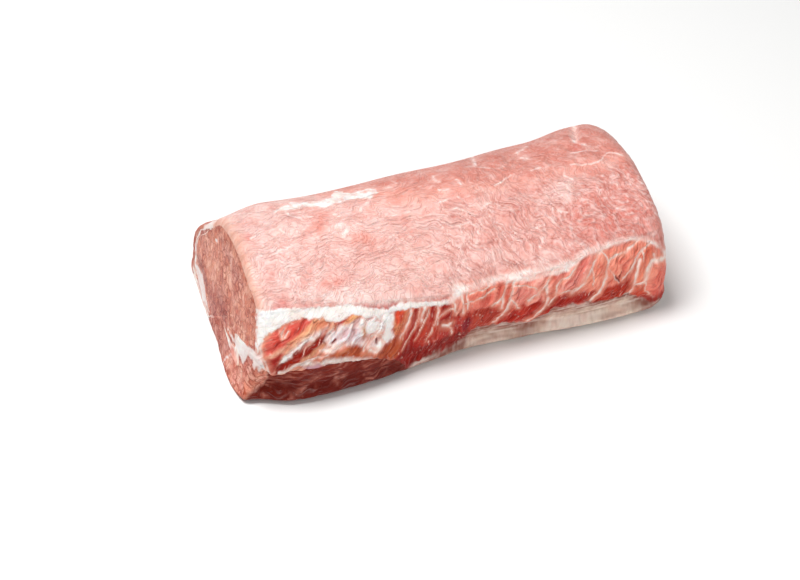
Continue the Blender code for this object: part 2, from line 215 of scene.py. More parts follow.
# The colours of the front, each patch by the corners of its outline; a later one covers an earlier one. The
# dark reds low on the strip, where it turns under towards its lower edge, are partly the lean's own colour
# and partly painted shade.
FRONT_PATCHES = (
    ("#e4a88c", (0, 165), (46, 165), (44, 184), (20, 190), (10, 200), (0, 200)),
    (
        "#e36557", (3, 180), (3.5, 173), (8, 169.4), (14, 167.2), (21, 165.4), (30, 165), (32.5, 167.5),
        (25.5, 171.6), (18.5, 175.6), (12, 178.5), (7, 181.5), (4, 182.5),
    ),
    ("#d3463a", (8, 172), (14, 168.8), (20, 168), (24, 169.5), (17, 174), (11, 177), (8, 176)),
    ("#f0b3a0", (11.5, 168.5), (14, 169), (15.5, 172.5), (13.5, 174.5), (12, 172)),
    (
        "#eda77f", (32, 166.5), (42, 168), (40, 170.3), (31, 171.5), (22, 174.5), (18, 177), (17, 175.5),
        (23, 172), (28, 169),
    ),
    (
        "#e6cfc9", (12.5, 187), (14.5, 182.5), (19.5, 179), (26, 174.8), (33, 172.8), (41, 171.8),
        (39, 173.4), (30, 176.5), (22.5, 180.6), (17, 184.5),
    ),
    (
        "#8f1a0a", (11, 195), (11.8, 188), (15, 184.8), (21, 180.8), (29, 177.2), (37, 174), (44.6, 172.8),
        (41, 177), (33, 180.4), (26, 183.4), (20.5, 186.4), (16, 190.5),
    ),
    (
        "#b5322a", (3.5, 183.5), (8, 182.5), (13, 180.2), (15.5, 180.6), (12.5, 184.6), (11.6, 190),
        (11, 197), (7.5, 193), (4, 187),
    ),
    (
        "#d08a60", (25, 184), (32, 180.6), (39, 177.8), (46, 176), (46, 178.4), (38, 180.4), (31, 182.4),
        (26, 184.8),
    ),
    (
        "#9c3317", (18, 188.4), (25, 185), (32, 183), (40, 181.6), (46, 182.4), (46, 186.4), (36, 186),
        (27, 186.4), (21, 188.6),
    ),
    (
        "#faeee9", (41, 174), (46, 171.5), (52, 171), (60, 170), (68, 172), (76, 171), (84, 171.5),
        (81, 178), (82, 185), (78, 188), (72, 190), (66, 188.5), (61, 184.5), (56, 182.5), (50, 182),
        (44, 183.5), (38, 182), (40, 179), (38, 177),
    ),
    (
        "#ebdde0", (44, 174.5), (52, 173.5), (60, 176), (64, 181), (60, 182.5), (54, 180.5), (47, 180),
        (42, 178),
    ),
    ("#e9a071", (49.5, 171.8), (54, 168), (58, 167), (63, 169.5), (58, 170.2), (54, 172)),
    ("#b4573a", (43.6, 173.5), (44.6, 170), (46.4, 170.5), (45.6, 173.8)),
    ("#c88a68", (61.5, 175), (63.5, 175), (65, 181), (62.5, 181.5)),
    (
        "#e58a62", (82.5, 171), (88, 170.5), (91.5, 173), (91, 179), (88, 184.5), (83, 186), (81.5, 180),
        (82, 175),
    ),
    ("#dc4a2e", (82.6, 171.5), (86.5, 170.6), (88.5, 173), (87.5, 177.5), (83.5, 179), (82.2, 174)),
    (
        "#b7552f", (41, 185), (48, 182.6), (54, 182), (60, 184), (66, 187), (70, 189.8), (64, 190.3),
        (56, 188.6), (48, 187),
    ),
    (
        "#b5502e", (66, 189.5), (74, 190), (80, 186.5), (88, 185), (92, 188), (90, 193), (84, 198),
        (78, 196), (70, 192.5),
    ),
    (
        "#b0281d", (91, 176), (96, 173.5), (104, 174.5), (112, 173.5), (119, 174), (122, 171), (125, 180),
        (125, 206), (100, 206), (88, 201), (84, 197), (88, 190), (90, 183),
    ),
    ("#c13f2d", (97, 184), (106, 182), (112, 188), (110, 197), (100, 196), (95, 191)),
    (
        "#92190d", (83, 197), (92, 193.5), (100, 197.5), (110, 195.5), (120, 196), (131, 197), (133, 207),
        (100, 208), (86, 204),
    ),
    ("#e9988a", (116, 170), (125, 167), (126, 176), (123, 182), (119, 181), (117, 176)),
    ("#e87a69", (122, 170), (150, 169), (150, 182), (132, 183), (124, 181)),
    (
        "#b93f2d", (132, 181), (141, 182), (149, 184), (150, 188), (146, 193), (143, 198), (133, 198),
        (131.5, 188),
    ),
    ("#8a1220", (125.5, 186.5), (130, 186), (131, 190), (129.5, 196.5), (126.5, 196), (125, 191)),
    ("#d84a39", (152, 170), (156, 171), (153.5, 181), (150.5, 185), (149.5, 180)),
    ("#f59b8d", (157, 170), (182, 169), (178, 186), (168, 185.5), (158, 185), (154, 183)),
    (
        "#b92b1b", (152.5, 186), (160, 186.5), (170, 185.5), (178, 186), (176, 192), (169, 200),
        (158, 198.5), (148, 198), (147, 193),
    ),
    ("#f39386", (184, 170), (200, 164), (213, 165), (205, 176), (198, 184), (184, 184), (183, 177)),
    (
        "#ab2415", (180, 186), (186, 184), (196, 185), (206, 184), (210, 187), (206, 194), (195, 193),
        (186, 194), (178, 197), (172, 202), (177, 192),
    ),
    (
        "#f38d77", (206, 172), (215, 165), (239, 163), (247, 167), (237, 174), (230, 184), (212, 187),
        (203, 186), (199, 183),
    ),
    (
        "#b8321c", (212, 187), (222, 186.5), (230, 185), (234, 186), (233, 193), (231, 197.5), (214, 197.5),
        (205.5, 195.5),
    ),
    ("#e5664a", (238, 175), (246, 168), (248, 174), (244, 181), (241, 190), (233.5, 190), (236, 181)),
    ("#d9583f", (233, 190), (242, 190), (243, 199), (247, 206), (238, 204), (231.5, 198)),
    (
        "#ef7f6d", (243, 180), (247, 178.5), (252, 178.5), (256, 182), (260, 190), (260, 208), (247, 206.5),
        (242, 199), (241.5, 190),
    ),
    ("#b92c1e", (239, 203), (244, 204.5), (252, 206.5), (260, 206), (260, 211), (246, 209)),
)

# Pits and gashes on the front, painted dark as painted shade: width and depth in mm, then the line.
FRONT_PITS = (
    (1.3, 0.8, (43.2, 178.9), (45.2, 178.1)),
    (1.3, 0.9, (71.1, 183.6), (71.4, 185.2)),
    (1.0, 0.5, (221.7, 180.5), (223.6, 184.5)),
    (0.8, 0.4, (225.5, 179), (224.5, 182.5)),
    (1.4, 0.5, (12.5, 156.6), (15, 156.4)),
    (0.9, 0.6, (185.5, 200), (186.6, 205)),
)

# Veins and flecks of white fat on top, as (x, y) in mm along each line, after its width.
TOP_VEINS = (
    (1.3, (20, 38), (23, 40), (27, 40), (31, 42)),
    (1.6, (9, 52.5), (12, 53.5)),
    (1.0, (28, 56), (30, 51.5), (34, 50)),
    (2.4, (61.5, 48.5), (65, 50), (66.3, 47), (64.8, 43), (63, 41)),
    (0.9, (69, 46.5), (73, 47.2), (76, 46.8)),
    (1.4, (63, 60), (65, 57)),
    (1.4, (36, 73), (36.5, 69), (38.5, 65), (43, 62.5), (49, 61)),
    (1.8, (88, 66), (84, 63), (81, 59.5), (79, 57)),
    (1.0, (97, 49), (102, 50.2), (109, 50)),
    (2.6, (102, 76), (105, 72.5)),
    (1.2, (108, 82), (109, 78)),
    (1.6, (133, 78), (132, 73), (134, 70)),
    (1.8, (144.5, 68), (146, 63)),
    (1.2, (131, 62), (137, 60.5)),
    (0.9, (127, 52), (134, 52.8), (141, 53)),
    (0.9, (130, 45), (137, 46.5), (141, 43), (146, 39)),
    (1.1, (133, 35), (140, 35.5), (145, 32)),
    (1.1, (166, 56), (170, 58), (174, 60), (178, 62)),
    (1.8, (176, 112), (170, 103), (165, 94), (163, 86), (161, 80)),
    (1.3, (158, 80), (163, 76.5), (168, 73.5)),
    (2.2, (190, 82), (194, 85), (199, 88)),
    (1.5, (190, 76), (193, 73)),
    (1.1, (191, 61.5), (197, 62)),
    (1.1, (216, 58.5), (222, 56), (229, 55), (235, 56), (238, 58.5), (241.5, 60.5), (245.5, 60), (250, 56)),
    (0.9, (221, 67.5), (226, 66.8), (231, 67.2), (236, 65)),
    (4.2, (243, 116), (237, 105), (232.5, 93), (229.5, 82)),
    (2.4, (229.5, 82), (227, 78), (231, 73)),
    (1.4, (140, 21), (143, 23)),
    (0.9, (180, 22), (185, 22.5)),
    (1.0, (232, 22), (237, 22.3)),
    (1.4, (196, 29), (201, 26)),
    (1.2, (150, 42), (158, 45)),
    (1.2, (209, 51), (213, 47)),
)

# White fat on top, and the colours of the top, each patch by the corners of its outline in mm.
TOP_FAT = (
    (
        (27, 73), (33, 76), (40, 80), (44, 82.5), (50, 79), (57, 78.5), (63, 78), (68, 80), (71, 85),
        (75, 90), (78, 85), (81, 81), (84, 82.5), (88, 80), (92, 81), (95.5, 77), (96, 72.5), (90, 68),
        (86, 64.5), (84, 69), (81, 71.5), (75, 72), (67, 70), (60, 68), (55, 71), (48, 72), (41, 72),
        (36, 73), (31, 72.5),
    ),
    ((-2, 92), (2, 96), (8, 101), (14, 105), (19, 108.5), (20, 116), (-2, 116)),
)
TOP_PATCHES = (
    ("#eeb0a2", (110, 55), (180, 52), (258, 50), (262, 120), (90, 120), (60, 90), (95, 60)),
    ("#da9386", (60, 92), (130, 64), (180, 56), (258, 58), (262, 125), (0, 125), (0, 97)),
    ("#f7e3dd", (22, 2), (34, 10), (48, 9), (58, 11), (66, 8), (80, 3), (100, -2), (60, -4)),
    (
        "#f6ded7", (118, -4), (122, 3), (135, 1), (150, 1), (175, 3), (200, 5), (225, 9), (240, 9),
        (250, 5), (256, 0), (250, -8), (118, -8),
    ),
    ("#e59d92", (185, -5), (262, -5), (262, 48), (225, 42), (200, 25), (190, 10)),
    ("#dd8b7f", (205, 12), (222, 6), (245, 4), (250, 14), (240, 26), (222, 30), (208, 24)),
    ("#e9a89b", (62, 40), (76, 42), (84, 38), (80, 32), (68, 34)),
    ("#eaa193", (50, 44), (60, 60), (56, 66), (46, 52)),
    ("#ec9d90", (40, 11), (50, 17), (56, 14), (50, 10)),
    ("#f6d3cb", (185, 36), (200, 50), (214, 46), (206, 34)),
    ("#f4cdc4", (92, 6), (118, 8), (116, 26), (96, 30), (88, 18)),
    ("#de6f62", (5.5, 51), (8.5, 52), (8.5, 55.5), (6, 55)),
    ("#d9473c", (12, 4.5), (16, 4.8), (15.5, 5.8), (12.5, 5.8)),
    ("#e07a6d", (223.5, 70), (227, 70), (226.5, 73), (224.5, 73)),
    ("#9c3a34", (37, 65), (38.6, 65), (38.6, 66.8), (37, 66.8)),
)

# Gashes on top: width and depth in mm, then the line.
TOP_GASHES = (
    (3.4, 3.0, (243.5, 118), (239, 108), (235, 98), (231.5, 89), (229.8, 83)),
    (1.6, 0.8, (229.8, 83), (228, 79), (231, 74)),
)

# The left cut, as (y, z) in mm: its sinews, its fat and its colours.
CUT_SINEWS = (
    (2.6, (99, 45), (104, 40), (107.5, 35)),
    (1.3, (103, 39), (109, 33), (112.5, 27), (114, 21), (113.3, 16)),
    (0.8, (27, 12), (30, 6), (32, 1)),
    (1.4, (80, 47.5), (82.5, 46.5)),
)
CUT_FAT = (
    (
        (-12, 40), (-6.7, 37.3), (2, 34.1), (7, 32), (11.8, 30.2), (16, 26.8), (20.8, 23.8), (27, 21.3),
        (33, 20.2), (40, 19.2), (34, 18.6), (29, 19), (23, 19.8), (16.6, 18.3), (11.9, 16.3), (9.1, 16.9),
        (7.5, 23.6), (5.5, 27.3), (1.7, 28.4), (-2.8, 30.2), (-9.1, 31.5), (-12, 34),
    ),
    (
        (70, 4.5), (80, 8), (86, 12), (95, 13.5), (102, 11), (110, 11), (109, 8), (104, 6.5), (98, 4),
        (85, 3),
    ),
)
CUT_PATCHES = (
    ("#e2a190", (20, 62), (60, 70), (90, 60), (70, 50), (40, 50)),
    ("#d98a76", (44, 30), (56, 33), (68, 26), (80, 18), (78, 8), (50, 10), (40, 18)),
    ("#b5574a", (45, 24), (56, 28), (62, 24), (54, 19), (46, 19)),
    ("#cf7563", (55, 17), (70, 20), (80, 14), (72, 7), (56, 8)),
    ("#a8382f", (80, 17), (92, 19), (104, 18), (112, 15), (104, 12.5), (95, 14), (86, 13)),
    ("#f6b3a2", (-8, 30), (0, 29), (8, 20), (14, 15), (28, 17), (34, 0), (-8, 0)),
    ("#c86f54", (104, 32), (118, 30), (122, 18), (118, 4), (108, 6), (114, 14), (113, 24)),
)

# The left cut's pale lean and fat, where they run round the corner on to the skin: x in mm, and the turn.
TOE = (
    (-3, 180), (2.4, 182), (5, 186), (7.5, 190), (9.5, 198), (9, 203.5), (5.5, 206), (2, 207.5), (0.5, 212),
    (-3, 213),
)
TOE_FAT = (
    (-3, 172), (1.9, 173), (2.6, 181), (4.6, 186), (6.2, 190.5), (4.2, 189), (3, 192), (1.8, 188),
    (0.6, 191), (-3, 188),
)
FLAP_CORNER_FAT = ((-3, 358), (0.5, 361.5), (2.5, 367), (5, 371), (9, 374), (12, 380), (-3, 380))

# Broad tones: of the top and the front from the left cut to the right one, in mm, of the back fat below the
# edge of the red, and of the lean under the fat and the flap round the section, in degrees.
TOP_TONES = (
    (0, "#efcbc4"), (60, "#efc6be"), (120, "#edc0b7"), (170, "#e7b0a6"), (215, "#df9e93"), (258, "#d68e82"),
)
FRONT_TONES = ((0, "#c63d2b"), (90, "#b0281b"), (130, "#c03f2f"), (175, "#d56857"), (258, "#d66154"))
# The back fat's dark brown just below the red is partly its membrane and partly painted shade under the
# strip's overhang.
FAT_TONES = (
    (0, "#7d3527"), (2.5, "#8f5342"), (5, "#a27566"), (8, "#cdb09d"), (11, "#efdccb"), (40, "#eadfd3"),
)
# The lean under the fat is darkest on its front, round 200 degrees, where it faces down to the table: partly
# its own deep red-brown and partly painted shade.
UNDER_LEAN_TONES = (
    (180, "#a5492f"), (186, "#8c3020"), (200, "#6c1a0f"), (230, "#8a3526"), (310, "#b8604f"),
    (400, "#c96f59"),
)

# The ridge, where the pale top turns into the red front, and the red's lower edge: x in mm, and the turn.
RIDGE = (
    (0, 30, 60, 85, 110, 117, 120, 150, 180, 200, 235, 247, 256),
    (158, 160, 165, 168.5, 172, 171.5, 166, 166, 166, 162.5, 161, 164, 174),
)
RED_EDGE = (
    (80, 84, 97, 110, 120, 130, 133, 136, 145, 150, 158, 165, 170, 175)
    + (180, 183, 190, 194, 200, 205, 208, 214, 222, 230, 234, 238, 243, 258),
    (270, 212, 204.5, 204.5, 206, 205, 199, 197, 197, 198, 199, 201, 203, 199)
    + (196, 193, 194.5, 192, 195, 193.5, 196, 196.5, 197, 196, 200, 203, 206, 209),
)

# The angle of the fibres and creases to the loin's length: x in mm, and degrees. Then how lively they are.
TOP_GRAIN = ((-10, 12), (60, 8), (100, -4), (125, -48), (150, -66), (190, -48), (270, -58))
FRONT_GRAIN = (
    (-10, -38), (50, -38), (88, -72), (120, -84), (140, -60), (190, -48), (240, -56), (250, -80),
    (270, -84),
)
TOP_LIVELINESS = ((-10, 60, 105, 130, 200, 270), (0.25, 0.25, 0.35, 1, 1, 0.8))

# The fat seam between the strip and the lean under the fat, and the grey-pink patch in it.
SEAM_FAT = (
    (1.3, (14, 191), (20, 187.5), (24, 185.8), (30, 185.8), (38, 186.8), (45, 187.3)),
    (2.3, (38, 186.8), (45, 187.4), (52, 188.7), (60, 190.7), (68, 193.2), (75, 196.2)),
    (1.2, (70, 194), (75, 196.2), (80, 199.2), (83, 202), (84.5, 205.5)),
)
SEAM_PATCHES = (
    ("#c9a7b4", (26, 187), (31, 186.8), (37, 187.2), (36, 188.6), (30, 188.6)),
)

# Where the looks change, in mm along the loin or as turns.
OVER_THE_TOP = 300  # turns past this one are counted from 0 again, as the top is
FRONT_FROM = 148  # the front is painted from here on, a little above the ridge
SHEET_END = 112  # where the white sheet over the front thins out to a band along the ridge
SHEET_FADE = 8
BACK_SEAM = 21.5  # the fat seam above the flap ends at this turn
FLAP_EDGE = 373.5  # the flap is pale from here on
CUT_RIM = 9  # how far the cream rim of the top reaches from the left cut

# The sides of the cubes that become the pieces, by axis and place: the outer one, and those in the two cuts.
UPPER_SIDE = (2, 1)
CUTS = ((0, 0), (0, 1))

# The sizes of the meat's patterns: its mottling, and the cells where fibre bundles end in a cut. Real bundles
# are 1 to 2 mm wide, and are drawn a little coarser so that they show.
BLOTCH = 11.765 * MM
SPECK = 1.923 * MM
SPECK_DEPTH = 0.12 * MM
LARGE_BUNDLE = 4.4 * MM
SMALL_BUNDLE = 2 * MM
SWAY = 3.125 * MM  # the size of the waves in the cells' edges
SWAY_REACH = (7 * MM, 7 * MM, 0)

# Light goes a little way into raw meat, and red light furthest.
FLESH_DEPTH = {
    "Subsurface Weight": 0.1,
    "Subsurface Radius": (1.0, 0.35, 0.2),
    "Subsurface Scale": 1.5 * MM,
}

# Settings that many shader nodes share, and the colour sockets of a Mix node: two inputs and the output.
SMOOTH = {"interpolation_type": "SMOOTHSTEP"}
FALLING = {"To Min": 1.0, "To Max": 0.0}
BLENDED = {"data_type": "RGBA"}
DARKENED = {"data_type": "RGBA", "blend_type": "MULTIPLY"}
A, B, MIXED = 6, 7, 2

# The lights' power in watts, their size and their places, in metres.
KEY_LIGHT = (15.9, 0.6, (-0.35, 0.1, 1.2))
FILL_LIGHT = (4.7, 1.0, (0.25, -1.1, 0.75))
LIGHTS_AIM = (0, 0, 0.03)
SURROUNDING_LIGHT = 0.26

# The camera: its place in metres, the directions of its right, down and forward, and its lens in mm.
CAMERA_PLACE = (-0.4524, -1.0849, 1.0116)
CAMERA_RIGHT = (0.9372, -0.3473, 0.0313)
CAMERA_DOWN = (-0.2046, -0.6204, -0.7571)
CAMERA_FORWARD = (0.2824, 0.7032, -0.6525)
CAMERA_LENS = 121.5
CAMERA_SENSOR_WIDTH = 36

# How lean changes as it gets lighter: red, green and blue.
LEAN_CHANGE = (0.22, 0.6, 0.62)

RELIEF_DEPTH = 3 * MM  # the relief of the skin fades out this deep in the sides of a layer
JOIN_FADE = 2  # degrees beside the layers' edges, over which the relief fades out
CUT_SHARE = 1e-4  # of the length: points this close to an end are in a cut


def hex_colour(code):
    """The linear colour of an sRGB hex code."""
    parts = (int(code[i : i + 2], 16) / 255 for i in (1, 3, 5))
    return np.array([p / 12.92 if p < 0.04045 else ((p + 0.055) / 1.055) ** 2.4 for p in parts])


def noise(u, v, seed):
    """Smooth waves from about -1 to 1, one or two to each unit of u and v."""
    angle = np.random.default_rng(seed).uniform(0, 2 * math.pi, (128, 128))
    i, j = np.floor(u).astype(int), np.floor(v).astype(int)
    s, t = u - i, v - j

    def slope(di, dj):
        a = angle[(i + di) % 128, (j + dj) % 128]
        return np.cos(a) * (s - di) + np.sin(a) * (t - dj)

    fade_s, fade_t = (f * f * f * (f * (f * 6 - 15) + 10) for f in (s, t))
    low = slope(0, 0) * (1 - fade_s) + slope(1, 0) * fade_s
    high = slope(0, 1) * (1 - fade_s) + slope(1, 1) * fade_s
    return 1.5 * (low * (1 - fade_t) + high * fade_t)


def curve_through(knots, values, at):
    """A smooth curve through the values at the knots, which doesn't overshoot them."""
    knots = np.asarray(knots, float)
    values = np.asarray(values, float)
    at = np.clip(at, knots[0], knots[-1])
    step = np.diff(knots)
    rise = np.diff(values) / step
    slope = np.zeros(len(knots))
    both = rise[:-1] + rise[1:]
    steady = rise[:-1] * rise[1:] > 0
    slope[1:-1] = np.where(steady, 2 * rise[:-1] * rise[1:] / np.where(steady, both, 1), 0)
    i = np.clip(np.searchsorted(knots, at, side="right") - 1, 0, len(step) - 1)
    s = (at - knots[i]) / step[i]
    return (
        values[i] * (1 + 2 * s) * (1 - s) ** 2
        + slope[i] * step[i] * s * (1 - s) ** 2
        + values[i + 1] * s**2 * (3 - 2 * s)
        + slope[i + 1] * step[i] * s**2 * (s - 1)
    )


def along(values, x):
    """A measure at x, from its values at the stations."""
    return curve_through(np.array(OUTLINE_STATIONS) * MM, values, x)


def closed_spline(points, per_span=48):
    """A closed Catmull-Rom curve through the points."""
    before, after, beyond = (np.roll(points, n, axis=0) for n in (1, -1, -2))
    s = np.linspace(0, 1, per_span, endpoint=False)[:, None, None]
    curve = 0.5 * (
        2 * points
        + (after - before) * s
        + (2 * before - 5 * points + 4 * after - beyond) * s**2
        + (3 * points - before - 3 * after + beyond) * s**3
    )
    return curve.transpose(1, 0, 2).reshape(-1, 2)


def outline_reach(x):
    """The reach of the outline at x, in directions from 0 to 360 degrees."""
    curve = closed_spline(np.array([[along(y, x), along(z, x)] for y, z in OUTLINE]) * MM)
    curve[:, 1] = np.maximum(curve[:, 1], 0)
    offset = curve - (CORE_Y, CORE_Z)
    turn = np.degrees(np.arctan2(offset[:, 1], offset[:, 0])) % 360
    order = np.argsort(turn)
    reach = np.hypot(*offset[order].T)
    return np.interp(np.linspace(0, 360, OUTLINE_TURNS), turn[order], reach, period=360)


OUTLINE_REACH = np.array([outline_reach(x) for x in np.linspace(0, LENGTH, OUTLINE_SECTIONS)])


def downward(turn):
    """1 where a direction faces the table and 0 where it faces the sides or up."""
    return np.clip((-np.sin(np.radians(turn)) - 0.45) / 0.2, 0, 1)


def rim_inset(x, turn):
    """How far the skin draws in where it rounds over into the two cuts: little on the table."""
    right_radius = curve_through(RIGHT_RIM_TURNS, RIGHT_RIM_RADIUS, np.mod(turn, 360))
    inset = 0
    for radius, depth in ((LEFT_RIM_RADIUS, x), (right_radius, LENGTH - x)):
        inside = np.clip(1 - depth / (radius * MM), 0, 1)
        inset = inset + radius * MM * (1 - np.sqrt(1 - inside**2))
    return inset * (1 - (1 - RIM_ON_TABLE) * downward(turn))


def lumps(x, turn):
    """Broad unevenness of the flesh, about a millimetre, which fades out on the table."""
    angle = np.radians(turn)
    waves = (
        np.sin(x / (21 * MM) + 2 * angle)
        + 0.8 * np.sin(x / (13 * MM) - 3 * angle + 1.3)
        + 0.6 * np.sin(x / (9 * MM) + 5 * angle + 4.1)
    )
    return LUMP_HEIGHT * waves * (1 - downward(turn))


def skin(x, turn):
    """The reach of the outer surface, without its fine relief."""
    column = np.clip(x / LENGTH, 0, 1) * (OUTLINE_SECTIONS - 1)
    row = np.mod(turn, 360) / 360 * (OUTLINE_TURNS - 1)
    i = np.minimum(column.astype(int), OUTLINE_SECTIONS - 2)
    j = np.minimum(row.astype(int), OUTLINE_TURNS - 2)
    s, t = column - i, row - j
    low = OUTLINE_REACH[i, j] * (1 - t) + OUTLINE_REACH[i, j + 1] * t
    high = OUTLINE_REACH[i + 1, j] * (1 - t) + OUTLINE_REACH[i + 1, j + 1] * t
    return low * (1 - s) + high * s + lumps(x, turn) - rim_inset(x, turn) - SHY * (1 - downward(turn))


def strip_foot(x):
    """The direction of the strip's lower edge."""
    return curve_through(np.array(STRIP_FOOT[0]) * MM, STRIP_FOOT[1], x)


def direction(x, step):
    """The turn of a step round the section at x."""
    top, foot = along(STRIP_TOP, x), strip_foot(x)
    front = top + (foot - top) * step / FOOT_STEP
    share = np.clip((step - FOOT_STEP) / (BACK_CORNER_STEP - FOOT_STEP), 0, 1)
    under = foot + (BACK_CORNER - foot) * (share - 0.5 * np.sin(2 * math.pi * share) / (2 * math.pi))
    share = (step - BACK_CORNER_STEP) / (FAT_TOP_STEP - BACK_CORNER_STEP)
    back = BACK_CORNER + (FAT_TOP - BACK_CORNER) * share
    share = (step - FAT_TOP_STEP) / (ALL_STEPS - FAT_TOP_STEP)
    over = FAT_TOP + (top + 360 - FAT_TOP) * share
    stretches = [step < FOOT_STEP, step < BACK_CORNER_STEP, step < FAT_TOP_STEP]
    return np.select(stretches, [front, under, back], over)


def thinned(depth, x):
    """A layer's depth, which the rounded rims take some of, and which stays over the thin edge."""
    rim = rim_inset(x, np.full_like(x, 90)) / (11 * MM)
    return np.maximum(depth * MM * (1 - 0.6 * rim), THIN_EDGE)


def wedge_depth(x, turn, step):
    """The depth of the lean under the fat: blunt along its top, tapering along the loin and to the back."""
    foot = strip_foot(x)
    share = (turn - foot) / (WEDGE_END - foot)
    across = curve_through((0, 0.05, 0.12, 0.5, 0.75, 1), (0.3, 0.6, 0.95, 1, 0.65, 0), share)
    taper = np.clip(1 - x / WEDGE_LENGTH, 0, 1) ** 0.6
    depth = np.maximum(WEDGE_DEPTH * taper * across, THIN_EDGE) + SEAM
    there = (step <= WEDGE_STEPS[1]) & (x <= WEDGE_LENGTH)
    blunt = np.clip((step - WEDGE_STEPS[0] - WEDGE_FIRST_EDGE) / (1 - WEDGE_FIRST_EDGE), 0, 1)
    return np.where(there, depth * blunt, 0)


def flap_depth(x, turn, step):
    """The depth of the lean flap along the belly side."""
    across = curve_through((BACK_CORNER - 12, 340, 355, FLAP_TOP), (0, 0.8, 1, 0), turn)
    there = (step >= FLAP_STEPS[0]) & (step <= FLAP_STEPS[1])
    return np.where(there, thinned(along(FLAP_DEPTH, x) * across, x) + SEAM, 0)


def fat_depth(x, turn):
    """The depth of the fat: a seam with a thick corner over the lean, and a cap from its end on."""
    share = curve_through(FAT_SEAM_TO_CAP, (0, 1), x / LENGTH)
    return thinned(curve_through(*FAT_SEAM, turn) * (1 - share) + curve_through(*FAT_CAP, turn) * share, x)


def strip_depth(x, turn):
    """The depth of the strip: thin at the ridge, and full from halfway down."""
    top = along(STRIP_TOP, x)
    across = curve_through((0, 0.3, 0.65, 1), (0, 0.7, 1, 1), (turn - top) / (strip_foot(x) - top))
    return thinned(along(STRIP_DEPTH, x) * across, x)


def skin_face(x, turn, step):
    """How deep the outer face of the strip, the lean under the fat and the flap lies: not at all."""
    return np.zeros_like(x)


def fat_face(x, turn, step):
    """How deep the outer face of the fat lies."""
    return wedge_depth(x, turn, step) + flap_depth(x, turn, step)


def under_face(x, turn, step):
    """How deep the inner face of the lean under the fat and of the flap lies."""
    return fat_face(x, turn, step) - SEAM


def bed(x, turn, step):
    """How deep the inner face of the strip and the fat lies."""
    fatness = np.clip(step - FOOT_STEP + 1, 0, 1)
    under_fat = fat_face(x, turn, step) + fat_depth(x, turn)
    return strip_depth(x, turn) * (1 - fatness) + under_fat * fatness


def eye_face(x, turn, step):
    """How deep the outer face of the eye lies: it is bare on top."""
    bare = (step > FAT_TOP_STEP + 0.01) & (step < ALL_STEPS - 0.01)
    return np.where(bare, 0, bed(x, turn, step) + SEAM)


def place(share, turn, reach):
    """Points, from the share of the length, the direction round the core and the distance from it."""
    angle = np.radians(turn)
    y = CORE_Y + reach * np.cos(angle)
    z = np.maximum(CORE_Z + reach * np.sin(angle), 0)
    bulge = CUT_BULGE * (1 - np.clip(reach / CORE_Y, 0, 1) ** 2)
    low = np.clip(1 - z / LEFT_CUT_TOE_HEIGHT, 0, 1)
    toe = LEFT_CUT_TOE * low**2 * curve_through(*LEFT_CUT_TOE_PLACES, y / MM)
    left = LEFT_CUT_LEAN_Y * y + LEFT_CUT_LEAN_Z * z - toe - bulge + cut_relief(y, z, 71)
    right = RIGHT_CUT_FOOT + RIGHT_CUT_LEAN_Y * y + RIGHT_CUT_LEAN_Z * z + bulge - cut_relief(y, z, 72)
    x = left + share * (right - left)
    return np.stack([x - ORIGIN_X, y - ORIGIN_Y, z], axis=1)


def cut_relief(y, z, seed):
    """The ends of the fibre bundles in a cut, up to half a millimetre deep."""
    u, v = (y * 0.8 - z * 0.6) / MM, (y * 0.6 + z * 0.8) / MM
    bundles = noise(u / 12, v / 3.2, seed) + 0.5 * noise(u / 5, v / 1.7, seed + 5)
    return MM * (0.25 + 0.2 * np.clip(bundles, -1.2, 1.2))


def smooth_line(points, per_span=6):
    """A line through the points without corners."""
    points = np.array(points, float)
    padded = np.vstack([2 * points[0] - points[1], points, 2 * points[-1] - points[-2]])
    before, here, after, beyond = padded[:-3], padded[1:-2], padded[2:-1], padded[3:]
    s = np.linspace(0, 1, per_span, endpoint=False)[:, None, None]
    curve = 0.5 * (
        2 * here
        + (after - before) * s
        + (2 * before - 5 * here + 4 * after - beyond) * s**2
        + (3 * here - before - 3 * after + beyond) * s**3
    )
    return np.vstack([curve.transpose(1, 0, 2).reshape(-1, 2), points[-1]])


def distance(at, line):
    """How far each place is from a line."""
    nearest = np.full(len(at), 1e9)
    for a, b in zip(line[:-1], line[1:]):
        run = b - a
        share = np.clip(((at - a) @ run) / max(run @ run, 1e-12), 0, 1)
        nearest = np.minimum(nearest, np.hypot(*(at - a - share[:, None] * run).T))
    return nearest


def stroke(at, width, points):
    """1 on a line, a half at the edge of its width and 0 at twice that."""
    cover = np.zeros(len(at))
    line = smooth_line(points)
    low, high = line.min(axis=0) - 2 * width, line.max(axis=0) + 2 * width
    near = np.all((at > low) & (at < high), axis=1)
    if near.any():
        cover[near] = np.clip(1 - distance(at[near], line) / width, 0, 1)
    return cover


def patch(at, soft, points):
    """1 inside an outline, a half on it and 0 outside, over a soft edge."""
    corners = np.array(points, float)
    cover = np.zeros(len(at))
    low, high = corners.min(axis=0) - soft, corners.max(axis=0) + soft
    near = np.all((at > low) & (at < high), axis=1)
    if not near.any():
        return cover
    spot = at[near]
    inside = np.zeros(len(spot), bool)
    for a, b in zip(corners, np.roll(corners, -1, axis=0)):
        crosses = (a[1] > spot[:, 1]) != (b[1] > spot[:, 1])
        rise = np.where(b[1] == a[1], 1e-9, b[1] - a[1])
        inside ^= crosses & (spot[:, 0] < (b[0] - a[0]) * (spot[:, 1] - a[1]) / rise + a[0])
    away = distance(spot, np.vstack([corners, corners[0]]))
    cover[near] = np.clip(0.5 + np.where(inside, away, -away) / (2 * soft), 0, 1)
    return cover


def drawn(at, strokes, patches, wide=1):
    """How far the lines and patches of fat cover each place: a half on their edges."""
    cover = np.zeros(len(at))
    for width, *points in strokes:
        cover = np.maximum(cover, stroke(at, wide * width, points))
    for points in patches:
        cover = np.maximum(cover, patch(at, 1.0, points))
    return cover


